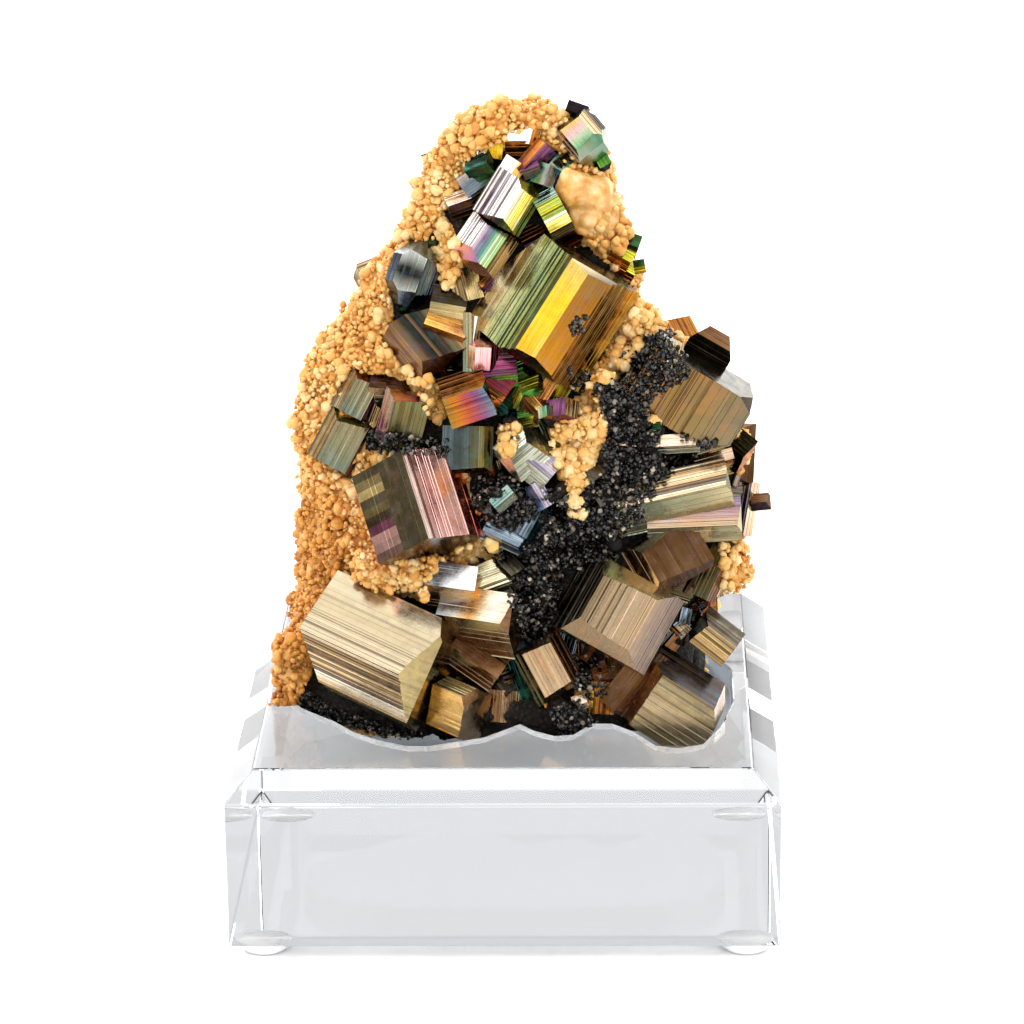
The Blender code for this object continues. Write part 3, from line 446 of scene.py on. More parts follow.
    ("blue_sliver", (16, -9, 71), 50, 0, 4, [(-30, 1.4), (30, 1.2)], [], "steel teal_pale", "blue",
     "copper"),
    ("tan_flake_left", (17.5, -10, 65.5), -5, 0, 5, [(-20, 1.6), (45, 1.2)], [], "pale_tan steel_pale",
     "tan", "steel_pale"),
    ("tan_flake_right", (23.5, -10, 65.5), 3, 0, 7.5, [(-20, 1.8), (50, 1.5)], [(1, 0, 30, 0.4)],
     "pale_tan silver", "pale_tan", "steel_pale"),
    ("white_flake", (13.5, -11, 59), -60, 0, 4, [(-20, 1.6), (45, 1.2)], [], "white silver", "white",
     "silver"),
    ("teal_flake", (0, -13, 58.5), 40, 0, 3.4, [(-20, 1.6), (45, 1.4)], [], "teal_pale silver",
     "teal_pale", "slate"),
    ("violet_flake", (5, -13, 59), -60, 0, 3.8, [(-20, 1.6), (45, 1.4)], [], "silver_violet blue",
     "violet_bars", "blue"),
    ("blue_flake", (4, -12.5, 55), 60, 0, 5, [(-20, 2), (45, 1.4)], [], "slate_bars peacock", "blue",
     "soot"),
    ("blue_fan", (0, -13, 53), -25, 0, 6.2, [(-20, 2.2), (45, 1.5)], [(1, 0, 35, 0.6)],
     "slate_bars steel", "blue", "slate"),
    # dark_wall, dark_teal_blade and dark_gap fill dark recesses; their dark looks are painted shade there.
    ("dark_wall", (5.5, -11, 42.5), 80, 0, 9, [(-30, 4), (40, 4)], [], "soot dark_brown", "soot", "soot"),
    ("dark_teal_blade", (2.5, -14, 34), -70, 0, 9, [(-30, 3.4), (40, 3)], [], "peacock teal", "teal",
     "peacock"),
    ("dark_gap", (7.5, -11, 37), 50, 0, 6, [(-30, 3.4), (40, 3)], [], "olive_dark soot", "soot", "soot"),
]
REAR_SEED = 12
REAR_CRYSTALS = 30
REAR_SIZE = (4.5, 9.5)
REAR_ANGLES = (18, 168)
print("crystals in front:", len(CRYSTALS), "and round the back:", REAR_CRYSTALS)

# %% [markdown]
# ## The colours of tarnish, with painted light and shade
# Fresh pyrite is pale brass. A thin film of tarnish colours it by interference, as on a soap
# bubble: tan, gold, orange, magenta, violet, blue, green with growing thickness. Every face
# here has a look: the colours along it, the colour of its grooves, how strong the grooves are,
# and the colour of the clouds that drift over it. The looks were mixed one by one.

# %% Looks of the faces
# Way the colours run, colours, groove, groove strength at the start and the end of the face,
# film, film share. "along" runs from the minus end to the plus end of the axis, "across"
# from the first edge of the face to its second, and "steps" along it in flat bands.
# Besides tarnish, the looks hold painted light: the groove colour is partly the film of the slopes and
# partly painted shade in the grooves, the near-white looks are partly painted highlight, and the near-black
# looks are painted shade and painted dark reflection.
LOOKS = {
    "cream": ("across", "#B4A88C #AC9E7E #B8AA8E", "#4A3A24", (0.1, 0.85), "#A08860", 0.3),
    "cream_bars": ("across", "#E8DCBC #A8885C #E0CCA4 #C8AA7C #F4E8D0 #BCA070", "#2A1C0C", (1, 0.9),
                   "#A87C4A", 0.4),
    "gold_bars": ("across", "#A8926A #C9A86E #8E744A", "#2A1E0E", (0.8, 0.8), "#8C6C3A", 0.5),
    "tan_bars": ("across", "#A8926E #C4AA82 #D8BC96 #CCAA84", "#1A120A", (1, 0.4), "#B08E6A", 0.4),
    "tan": ("along", "#B0946E #BFA27E", "#6A5238", (0.3, 0.4), "#C98A5A", 0.5),
    "pale_tan": ("along", "#C4A27A #D6C2A4 #C9A888", "#8A6E52", (0.4, 0.25), "#B0A6B4", 0.6),
    "bronze": ("across", "#6E4E28 #7E6238 #7A6842 #6E6850", "#3A2A12", (0.8, 0.7), "#98683A", 0.6),
    "brown_bars": ("across", "#B47A34 #9E7234 #B8883C #DCB044", "#2E2008", (0.8, 0.7), "#B88A4A", 0.4),
    "amber": ("along", "#AC721E #9A661E #8E5C1C #805C28", "#5A340E", (0.0, 0.2), "#8A6A3A", 0.3),
    "amber_bars": ("across", "#A9702C #8A5220 #B8803A", "#22140A", (0.8, 0.8), "#D08A3A", 0.5),
    "yellow": ("along", "#E0A62A #F0C42C #ECBE2E #DCB85E", "#A07818", (0.0, 0.15), "#F8E07A", 0.3),
    # The cream colours at the first edge of this look are painted highlight on the bars.
    "green_bars": ("across", "#FFE8C2 #F4DEAE #CCCA92 #AAB276 #96A05A #B8B862", "#0A1006", (0.1, 1.7),
                   "#8AAA62", 0.15),
    # These two near-white looks are partly painted highlight: pyrite is pale brass, and the white stands in
    # for faces that mirror the lights.
    "white": ("along", "#F8F4EC", "#8A7A60", (0.1, 0.2), "#E8D0C0", 0.3),
    "white_bars": ("across", "#FFF2DC #FFFFFF #FFFAF0 #FFFFFF", "#3A1424", (1.0, 1.0), "#F4E4E0", 0.2),
    "lime_bars": ("across", "#D2CE4A #A8A428 #7E8420", "#20200A", (0.9, 0.9), "#6FA86A", 0.5),
    "yellow_bars": ("across", "#FFFAE0 #E8DA5A #CDB92E", "#4A3A10", (0.5, 0.8), "#F0E8C8", 0.4),
    "gold": ("along", "#E0A84E #F0C278", "#8A5E1C", (0.3, 0.4), "#F0C47A", 0.4),
    "rose_gold": ("across", "#C9923E #B0605A #6E5A86", "#5A3A28", (0.2, 0.2), "#A8607A", 0.5),
    "olive": ("along", "#5C5434 #6B6238", "#2A2614", (0.4, 0.5), "#6A7050", 0.6),
    "olive_bars": ("across", "#948460 #B8A480 #9A8A62", "#261E10", (0.7, 0.6), "#A8865A", 0.5),
    # Painted shade: a near-black olive for faces in shade and dark reflection.
    "olive_dark": ("along", "#2A2616 #3A3422", "#0C0A06", (0.3, 0.5), "#5A5030", 0.5),
    "cube_brown": ("steps",
                   "#6A4E44 #A07A6E #B08478 #663A46 #3A3020 #66562F #504630 #BCA268 #806F42 #4E4630",
                   "#1A120A", (0.2, 0.3), "#8A744A", 0.3),
    "sage": ("along", "#90A08C #ACA880 #B8AA80", "#3A3C2E", (0.5, 0.3), "#B89C6A", 0.5),
    # The next three looks are painted shade and painted dark reflection: near-black faces that mirror the
    # darker room or turn away from the lights.
    "soot": ("along", "#171513 #211E1B", "#040404", (0.4, 0.4), "#3A3E46", 0.5),
    "soot_bars": ("across", "#100E0C #1A1712 #2A241A", "#A08A66", (0.05, 0.28), "#2A2E36", 0.4),
    "soot_speckled": ("along", "#4A4436", "#12100C", (0.5, 0.5), "#8A8264", 0.5),
    # Painted shade: a near-black brown for faces in shade and dark reflection.
    "dark_brown": ("along", "#2C1D10 #46301C", "#0E0804", (0.4, 0.4), "#6A4626", 0.6),
    "brown": ("along", "#5E4024 #765434", "#1E120A", (0.4, 0.5), "#8C6A46", 0.6),
    "slate": ("across", "#566260 #3E4844 #484E3E #807434", "#1A201E", (0.3, 0.3), "#74888C", 0.5),
    "slate_bars": ("across", "#6A7C88 #8A9CA6 #4A5660", "#12181C", (0.7, 0.8), "#A8B8C2", 0.5),
    "steel": ("along", "#8D989E #6E7C86", "#3A4248", (0.2, 0.3), "#B0BCC4", 0.5),
    "steel_dark": ("along", "#5E6A70 #434F57 #2A3236", "#161C20", (0.3, 0.4), "#8A98A0", 0.5),
    "steel_pale": ("along", "#B4BCBE #D0D4D2", "#4A5258", (0.4, 0.5), "#7E9098", 0.5),
    "peacock": ("along", "#101C20 #1A3238", "#05090B", (0.3, 0.4), "#2A5A60", 0.6),
    "teal": ("along", "#2E6E66 #1E4E4A", "#0E2622", (0.4, 0.4), "#4AA08A", 0.6),
    "teal_pale": ("along", "#86AFA4 #A8C4B4", "#2E4844", (0.3, 0.4), "#D0D0B8", 0.5),
    "pink_bars": ("across", "#FFEAD8 #F0B4A8 #F8BCB4 #FFC8C0 #F8C4BA", "#42181A", (1.1, -0.1), "#FFDCD8",
                  0.25),
    "pink": ("along", "#D9949C #E2B4AC", "#8A4A5A", (0.2, 0.2), "#E8C0B8", 0.5),
    "magenta": ("across", "#5E1E3A #8A3A5E #3E1A2E", "#160810", (0.8, 0.8), "#3E6A4A", 0.5),
    "plum": ("along", "#4A2C40 #6A3E5C", "#1A0C18", (0.4, 0.5), "#8A5070", 0.6),
    "violet_bars": ("across", "#8C7864 #7E6E62 #6A5E58", "#261C20", (0.5, 0.7), "#A0845E", 0.4),
    "violet_pink_bars": ("across", "#6E6278 #90706A #A8906A", "#3A2A3E", (0.6, 0.6), "#8A8890", 0.4),
    "violet_green": ("across", "#8A4A68 #7E6A52 #5E7A3A #A08A5A", "#3A3A20", (0.0, 0.1), "#B07A4A", 0.3),
    "violet_teal": ("across", "#A89498 #5A4A66 #3E6A5A #A4B484 #5A7A3A", "#241C2C", (0.7, 0.6), "#7AA08E",
                    0.3),
    "roof_bright": ("along", "#9AA2A6 #C8C4BA #D89C40 #D8D0BE #B8AC94", "#6A5A3E", (0.2, 0.2), "#D0C4AE",
                    0.3),
    "roof_blue": ("along", "#B8C8D4 #D8DCE0 #E2D8D0", "#6A6A6E", (0.1, 0.1), "#E8D8C8", 0.4),
    "roof_side": ("along", "#6A5038 #A88A64 #D8C8A4", "#2A1A10", (0.3, 0.3), "#A8866A", 0.4),
    "blue": ("along", "#43587A #6A84A8", "#1C2434", (0.4, 0.5), "#8AA0B8", 0.5),
    "red": ("along", "#F0705A #FF9070 #F07858", "#6A241C", (0.1, 0.2), "#F8A88A", 0.3),
    "dark_red": ("along", "#3E1416 #5E2024", "#180608", (0.4, 0.5), "#7A3A2A", 0.5),
    "orange": ("along", "#B8621E #D8862E", "#6A340E", (0.3, 0.4), "#E8B45A", 0.6),
    "copper": ("along", "#7A4420 #96582A", "#2E1808", (0.4, 0.5), "#C8843A", 0.7),
    "sunset": ("along", "#8A6A1C #B0661E #A03E36 #6E3E68 #54707E", "#381810", (0.6, 0.4), "#C08A3A", 0.15),
    "rainbow": ("along", "#F0C458 #F0BC98 #E8BCC0 #CCD0B0 #A0C69C #6EA878", "#8A6A4A", (0.15, 0.25),
                "#F0E0C0", 0.2),
    "rainbow_strip": ("along", "#9A8AB0 #D88A9A #E8B49A #D8B8B0", "#5A3A4A", (0.4, 0.4), "#F0D8C8", 0.3),
    "prism_end": ("across", "#A8905C #3E3622 #2A2618", "#14100A", (0.1, 0.1), "#6A5E3A", 0.3),
    "prism_foot": ("across", "#B87A7E #3E4A22 #1E3A20 #6A5A2E", "#1A2410", (0.1, 0.1), "#5A3A4A", 0.4),
    "green": ("along", "#2E6E2A #5EA83E", "#12300E", (0.3, 0.4), "#A8CC5A", 0.6),
    "green_steel": ("across", "#3E6E52 #56703E #8E8E7A", "#142418", (0.3, 0.4), "#6A9A8A", 0.6),
    "bright_green": ("along", "#2E8A44 #6ABF5E", "#0C3012", (0.2, 0.3), "#A8D89A", 0.5),
    "dark_green": ("along", "#14240F #2A4A20", "#0A1408", (0.3, 0.4), "#3A6A3A", 0.6),
    "yellow_green": ("along", "#6E7A1E #B9B42C", "#2A300A", (0.4, 0.5), "#E8D84A", 0.6),
    "silver": ("along", "#90947A #BCBEA6", "#3E4238", (0.7, 0.7), "#D0D0C0", 0.6),
    "silver_violet": ("across", "#8E8AA0 #B8AEB8 #6A6A80", "#2E2A3A", (0.7, 0.7), "#D8C8C8", 0.5),
    "speckled": ("along", "#A89C74 #CCC29C", "#2E2A1C", (0.8, 0.8), "#E4DCC0", 0.6),
    "peacock_brown": ("across", "#8A744A #3A3424 #18221F #1E2420 #6A4E2A", "#0A0A08", (0.3, 0.4), "#4A5A50",
                      0.4),
    # A dark band across the face: painted shade of a cavity that the face does not have.
    "steel_cavity": ("along", "#C0C2B8 #8A8E84 #1C1E1C #2A2A26 #A8AAA0 #D8DAD0", "#2A2E30", (0.3, 0.3),
                     "#8A8E86", 0.4),
    "plain_brass": ("along", "#8E7E54 #B5A06E", "#3E3218", (0.4, 0.5), "#6A5A3A", 0.6),
}
REAR_LOOKS = ["tan_bars", "gold_bars", "olive_bars", "cream_bars", "brown_bars", "sage",
              "violet_bars", "amber_bars", "slate_bars", "bronze", "copper", "lime_bars"]
# The small crystals in the gaps take mostly dark looks: painted shade of the crevices they sit in.
GAP_LOOKS_HIGH = ["dark_green", "copper", "plum", "teal", "gold_bars", "olive", "soot_bars",
                  "olive_dark", "green_steel", "amber_bars"]
GAP_LOOKS_LOW = ["olive_bars", "brown", "soot_bars", "soot_speckled", "slate_bars", "bronze",
                 "copper", "olive_dark", "violet_bars", "amber_bars"]
print("looks:", len(LOOKS))

# %% [markdown]
# ## Growing one crystal
# A crystal is a column: its cross-section is drawn once, with every groove in it, and swept
# along the axis until it meets the flat planes of its ends. The grooves are steps in the
# section, so they are real shape, they run the whole length, and they notch the end faces just
# as on the mineral. A texture could only paint them.

# %% Axes and widths of a crystal


def crystal_axes(lean, out):
    """Axis, direction of angle 0 (to the viewer as far as it can) and direction of angle 90."""
    lean, out = math.radians(lean), math.radians(out)
    across = math.cos(lean) * VIEW_RIGHT + math.sin(lean) * VIEW_UP
    axis = math.cos(out) * across + math.sin(out) * TO_VIEWER
    facing = TO_VIEWER - (TO_VIEWER @ axis) * axis
    facing /= np.linalg.norm(facing)
    return axis, facing, np.cross(axis, facing)


def half_width(faces, angle):
    """Half the sum of every face's width as seen along a direction: w * |sin(difference)|."""
    return 0.5 * sum(w * abs(math.sin(math.radians(face - angle))) for face, w in faces)


print("half a 10 mm cube seen on its edge:", round(half_width([(0, 10), (90, 10)], 45), 2), "mm")

# %% [markdown]
# ## Grooves in the section
# A face is never one flat. It drops and climbs in steps of a few hundredths of a millimetre,
# with flats between them, some narrow and some broad. A seeded walk across the face gives such
# steps, and a look says how strong they are at its first and at its last edge.

# %% Grooves and the closed section
# Height of a step, its run per millimetre of height, and the narrow flat after it
GROOVE_RISE = (0.03, 0.12)
GROOVE_SLOPE = (0.45, 1.0)
NARROW_FLAT = (0.05, 0.26)
# A broad flat and the deepest groove as shares of the face's width
BROAD_FLAT = (0.05, 0.17)
GROOVE_DEPTH = 0.028
PLAIN_WIDTH = 0.5
BROAD, SLOPE, NARROW = 0, 1, 2


def grooves(width, strength, rng):
    """Steps across a face: places from 0 to width, the depth at each, and the kind of each
    stretch. The strength can change over the face, and where it is low the flats are broad."""
    places, depths, kinds = [0.0], [0.0], []
    if width < PLAIN_WIDTH:
        return [0.0, width], [0.0, 0.0], [BROAD]
    deepest = GROOVE_DEPTH * width + 0.06
    while True:
        here = strength[0] + (strength[1] - strength[0]) * places[-1] / width
        here = min(max(here, 0.0), 1.0)
        broad = rng.random() < 0.92 - 0.8 * here
        flat = rng.uniform(*NARROW_FLAT)
        if broad:
            flat = width * rng.uniform(*BROAD_FLAT) * (1.2 - here)
        rise = rng.uniform(*GROOVE_RISE) * (0.2 + 0.8 * here)
        depth = depths[-1] + (rise if rng.random() < 0.5 else -rise)
        if not 0 <= depth <= deepest:
            depth = min(max(2 * depths[-1] - depth, 0.0), deepest)
        run = abs(depth - depths[-1]) * rng.uniform(*GROOVE_SLOPE) + 0.02
        if places[-1] + flat + run > width - 0.12:
            break
        places += [places[-1] + flat, places[-1] + flat + run]
        depths += [depths[-1], depth]
        kinds += [BROAD if broad else NARROW, SLOPE]
    places += [max(places[-1] + 0.02, width - max(0.08, depths[-1] * 0.6)), width]
    depths += [depths[-1], 0.0]
    kinds += [BROAD, SLOPE]
    return places, depths, kinds


def section(faces, looks, rng):
    """Closed outline across the axis, in (facing, side): each face's edge is w long along the
    direction at 90 degrees to its normal, and the second half repeats the first, turned about.
    Gives the points and, for the stretch after each one, its face, place and kind."""
    outline, owners, places_out, kinds_out = [], [], [], []
    corner = np.zeros(2)
    for angle, width in faces:
        turn = math.radians(angle)
        corner = corner - 0.5 * width * np.array((-math.sin(turn), math.cos(turn)))
    for half in (0, 1):
        for index, (angle, width) in enumerate(faces):
            turn = math.radians(angle + 180 * half)
            normal = np.array((math.cos(turn), math.sin(turn)))
            along = np.array((-math.sin(turn), math.cos(turn)))
            places, depths, kinds = grooves(width, LOOKS[looks[index]][3], rng)
            for place, depth, kind in zip(places[:-1], depths[:-1], kinds):
                outline.append(corner + place * along - depth * normal)
                owners.append(index)
                places_out.append(place)
                kinds_out.append(kind)
            corner = corner + width * along
    return np.array(outline), np.array(owners), np.array(places_out), np.array(kinds_out)


print("steps on a face 10 mm wide:", len(grooves(10, (1, 1), np.random.default_rng(0))[0]))

# %% [markdown]
# ## Cutting the section
# Where two flat planes of an end meet, the crystal has an edge, so the section needs a point
# on that line. A Boolean for each end would be slow and would lose the map of the grooves.
# Cutting the outline in its own plane is exact and takes a few lines.

# %% Split and clip an outline


def split_outline(outline, extra, line):
    """Add a point wherever the outline crosses a line (nx, ny, d) with nx x + ny y = d."""
    side = outline @ line[:2] - line[2]
    after = np.roll(side, -1)
    crossing = np.nonzero((side * after) < -1e-12)[0]
    share = side[crossing] / (side[crossing] - after[crossing])
    new = outline[crossing] + share[:, None] * (np.roll(outline, -1, 0)[crossing] - outline[crossing])
    outline = np.insert(outline, crossing + 1, new, 0)
    return outline, [np.insert(values, crossing + 1, values[crossing], 0) for values in extra]


def clip_outline(outline, line):
    """Keep the part of a closed outline where nx x + ny y <= d."""
    if len(outline) < 3:
        return outline
    side = outline @ line[:2] - line[2]
    side = np.where(np.abs(side) < 1e-9, 0.0, side)
    after = np.roll(side, -1)
    change = (side * after) < 0
    share = np.where(change, side / np.where(change, side - after, 1.0), 0.0)
    cross = outline + share[:, None] * (np.roll(outline, -1, 0) - outline)
    both = np.stack([outline, cross], 1).reshape(-1, 2)
    keep = np.stack([side <= 0, change], 1).ravel()
    return both[keep]


square = np.array([(0, 0), (2, 0), (2, 2), (0, 2)], float)
print("corners of a clipped square:", len(clip_outline(square, np.array((1, 1, 3)))))

# %% [markdown]
# ## Planes, colours and corners
# An end can have a flat cap and a few bevels. The height of the side's edge is the lowest of
# their planes. Every corner of a face carries its tint, its film and its place on the map, so
# one material serves every crystal. An image for each face would say no more.

# %% Ends of a crystal and colours of its sides
ROWS_PER_COLOUR = {"along": 2, "steps": 2, "across": 0}


def mix_colours(colours, share):
    """Colour at a share of the way through a list of linear colours."""
    share = np.clip(share, 0, 1) * (len(colours) - 1)
    low = np.minimum(share.astype(int), len(colours) - 1)
    high = np.minimum(low + 1, len(colours) - 1)
    part = (share - low)[..., None]
    return colours[low] * (1 - part) + colours[high] * part


def end_caps(length, faces, bevels):
    """The planes of both ends as (a, b, c): at (p, q) of the section the height is
    c - a p - b q. The first is the flat cap, the others are the bevels."""
    caps = {1: [np.array((0.0, 0.0, length / 2))], -1: [np.array((0.0, 0.0, length / 2))]}
    for end, angle, tilt, cut in bevels:
        tilt, turn = math.radians(tilt), math.radians(angle)
        corner = math.cos(tilt) * length / 2 + math.sin(tilt) * half_width(faces, angle)
        slope = math.tan(tilt)
        cap = (slope * math.cos(turn), slope * math.sin(turn), (corner - cut) / math.cos(tilt))
        caps[end].append(np.array(cap))
    return caps


def end_height(outline, caps, end):
    """Height of the section's points on an end: that of the lowest of its planes."""
    return end * np.min([cap[2] - outline @ cap[:2] for cap in caps[end]], 0)


def side_colours(faces, looks, owners, places, kinds, share, rng):
    """Tint and film of each corner of the sides: the look's colours, darker on slopes and on
    some narrow flats, where the groove colour is partly the slope's own film and partly painted
    shade in the grooves. Each row of faces lies between two shares of the height."""
    rows, count = len(share) - 1, len(owners)
    tints = np.zeros((rows, count, 4, 3))
    films = np.zeros((rows, count, 4, 4))
    dim = rng.random(count)
    next_place = np.where(np.roll(owners, -1) == owners, np.roll(places, -1), 0)
    width_of = np.array([width for _, width in faces])
    start = np.clip(places / width_of[owners], 0, 1)
    stop = np.where(next_place > places, np.clip(next_place / width_of[owners], 0, 1), 1.0)
    up_row = np.stack([share[:-1], share[:-1], share[1:], share[1:]], 1)[:, None]
    over_face = np.stack([start, stop, stop, start], 1)[None]
    for index, look in enumerate(looks):
        way, colours, groove, strength, film, film_share = LOOKS[look]
        colours = np.array([linear(c) for c in colours.split()])
        chosen = owners == index
        part = over_face[:, chosen] if way == "across" else up_row
        if way == "steps":
            part = np.floor(up_row.mean(2, keepdims=True) * len(colours)) / (len(colours) - 1)
            part = np.where(start[chosen][None, :, None] > 0.5, 1.0, part)
        base = mix_colours(colours, np.broadcast_to(part, (rows, chosen.sum(), 4)))
        depth = dim[chosen]
        narrow = np.where(depth > 0.6, 0.6 + 0.4 * depth, 0.2 * depth)
        # The groove colour on slopes and narrow flats: partly their own film, partly painted shade.
        dark = np.select([kinds[chosen] == SLOPE, kinds[chosen] == NARROW],
                         [0.45 + 0.5 * depth, narrow], 0.12 * depth)
        here = strength[0] + (strength[1] - strength[0]) * start[chosen]
        dark *= np.clip(here, 0, 1)
        dark = dark[None, :, None, None]
        tints[:, chosen] = base * (1 - dark) + linear(groove) * dark
        films[:, chosen] = (*linear(film), film_share)
    return tints, films


print("an end with two bevels has", len(end_caps(2, [(0, 1)], [(1, 0, 45, 0.2)] * 2)[1]), "planes")

# %% [markdown]
# ## Growing and closing it
# The section is swept along the axis in rows, as many as its colours need, and each end gets
# its flat faces. The arrays of many crystals are kept until they become one mesh, which is far
# faster than to join objects.

# %% Grow one crystal and mesh it


class Growth:
    """Arrays of one piece as its crystals are added: points, faces, and values of each corner."""

    def __init__(self):
        self.points, self.faces, self.tints, self.places, self.films = [], [], [], [], []
        self.count = 0

    def add(self, points, faces, tints, places, films):
        self.points.append(points)
        self.faces += [[index + self.count for index in face] for face in faces]
        self.tints.append(tints)
        self.places.append(places)
        self.films.append(films)
        self.count += len(points)


def ring_quads(levels, columns):
    """Quads between one ring of points and the next, with the last column joined to the first."""
    step = np.arange(columns)
    after = (step + 1) % columns
    return np.concatenate([
        np.stack([level * columns + step, level * columns + after,
                  (level + 1) * columns + after, (level + 1) * columns + step], 1)
        for level in range(levels)])


def end_faces(outline, caps, ends, axes):
    """Each flat face of both ends: its points, the order of its corners, and their tints,
    places on the map and films. A face is the outline clipped by all its rivals' planes."""
    axis, facing, side = axes
    for end, look in zip((1, -1), ends):
        _, colours, _, _, film, film_share = LOOKS[look]
        colours = np.array([linear(c) for c in colours.split()])
        for cap in caps[end]:
            flat = outline
            for rival in caps[end]:
                if rival is not cap:
                    flat = clip_outline(flat, rival - cap)
            if len(flat) < 3:
                continue
            top = end * (cap[2] - flat @ cap[:2])
            spots = flat @ np.stack([facing, side]) + top[:, None] * axis
            span = flat[:, 1].max() - flat[:, 1].min() + 1e-6
            tints = mix_colours(colours, (flat[:, 1] - flat[:, 1].min()) / span)
            films = np.tile((*linear(film), film_share), (len(flat), 1))
            yield spots, range(len(flat))[::end], tints[::end], flat[::end], films


def grow(growth, middle, lean, out, length, faces, bevels, looks, ends, rng):
    """Add one crystal. A point of the section at height h is middle + p*facing + q*side +
    h*axis, and h runs from the lowest to the highest that all the end planes allow."""
    axis, facing, side = crystal_axes(lean, out)
    outline, owners, places, kinds = section(faces, looks, rng)
    caps = end_caps(length, faces, bevels)
    # Two planes of one end meet on the line (a1 - a2) p + (b1 - b2) q = c1 - c2
    for end in (1, -1):
        for first, second in itertools.combinations(caps[end], 2):
            outline, (owners, places, kinds) = split_outline(
                outline, (owners, places, kinds), first - second)

    ways = [(LOOKS[look][0], len(LOOKS[look][1].split())) for look in looks]
    rows = max([ROWS_PER_COLOUR[way] * colours for way, colours in ways] + [1])
    share = np.linspace(0, 1, rows + 1)
    low, high = end_height(outline, caps, -1), end_height(outline, caps, 1)
    high = np.maximum(high, low + 0.05)
    level = low + share[:, None] * (high - low)
    points = (outline @ np.stack([facing, side]))[None] + level[..., None] * axis
    quads = ring_quads(rows, len(outline))
    tints, films = side_colours(faces, looks, owners, places, kinds, share, rng)
    # On the map the crystal's faces lie 3 mm apart, so that each has grooves of its own
    corner_place = np.stack([places, places + 0.01, places + 0.01, places], 1)
    corner_place = np.tile(corner_place, (rows, 1)) + 3.0 * np.tile(owners, rows)[:, None]
    maps = np.stack([level.reshape(-1)[quads], corner_place], -1)

    all_faces = quads.tolist()
    all_points = [points.reshape(-1, 3)]
    all_tints = [tints.reshape(-1, 3)]
    all_maps = [maps.reshape(-1, 2)]
    all_films = [films.reshape(-1, 4)]
    used = len(all_points[0])
    for spots, corners, tint, flat, film in end_faces(outline, caps, ends, (axis, facing, side)):
        all_faces.append([used + corner for corner in corners])
        all_points.append(spots)
        all_tints.append(tint)
        all_maps.append(flat)
        all_films.append(film)
        used += len(spots)
    growth.add((np.concatenate(all_points) + middle) * MM, all_faces,
               np.concatenate(all_tints), np.concatenate(all_maps), np.concatenate(all_films))


def crystal_piece(name, growth, material):
    """Turn the arrays to a mesh, join the points where sides and ends meet, and close it."""
    mesh = bpy.data.meshes.new(name)
    mesh.from_pydata(np.concatenate(growth.points).tolist(), [], growth.faces)
    tint = mesh.color_attributes.new("tint", 'FLOAT_COLOR', 'CORNER')
    colours = np.concatenate(growth.tints)
    colours = np.concatenate([colours, np.ones((len(colours), 1))], 1)
    tint.data.foreach_set("color", colours.ravel())
    film = mesh.color_attributes.new("film", 'FLOAT_COLOR', 'CORNER')
    film.data.foreach_set("color", np.concatenate(growth.films).ravel())
    grooves_map = mesh.uv_layers.new(name="grooves")
    grooves_map.data.foreach_set("uv", np.concatenate(growth.places).ravel())
    bm = bmesh.new()
    bm.from_mesh(mesh)
    bmesh.ops.remove_doubles(bm, verts=bm.verts[:], dist=1e-7)
    bm.to_mesh(mesh)
    bm.free()
    mesh.materials.append(material)
    piece = show(name, mesh)
    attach(piece, BODY)
    return piece


trial = Growth()
grow(trial, np.zeros(3), 0, 0, 8, [(0, 8), (90, 8)], [], ["tan"] * 2, ["tan"] * 2,
     np.random.default_rng(0))
print("a grooved cube has", len(trial.faces), "faces")

# %% [markdown]
# ## Tarnished pyrite
# Pyrite is an iron sulphide with a metallic lustre, so the shader is a metal and its colour is
# the tarnish film. Fine grooves, too fine to model, are a bump that follows the crystal's own
# map: long along the axis and a few hundredths of a millimetre across. Patches where the film
# is a little thicker shift the colour along the order of the interference colours.

# %% Tarnished pyrite material
# Sizes in millimetres: length and width of the fine grooves and of the streaks in the film,
# and the widths of its patches, of blotches and of pits. The real grooves are finer still and
# are drawn as coarse as it needs to show.
FINE_GROOVE = (9.0, 0.14)
STREAK = (14.0, 0.8)
FILM_PATCH = 3.2
BLOTCH = 1.4
PIT = 0.35
FILM_ORDER = [
    (0.0, "#D8C8A0"), (0.16, "#C99A3A"), (0.3, "#C8642A"), (0.42, "#9A3E66"),
    (0.55, "#5A5A9A"), (0.68, "#4E8EA0"), (0.8, "#6FA858"), (0.92, "#D8C83A"), (1.0, "#D89A8A"),
]
FILM_SHIFT = 0.08


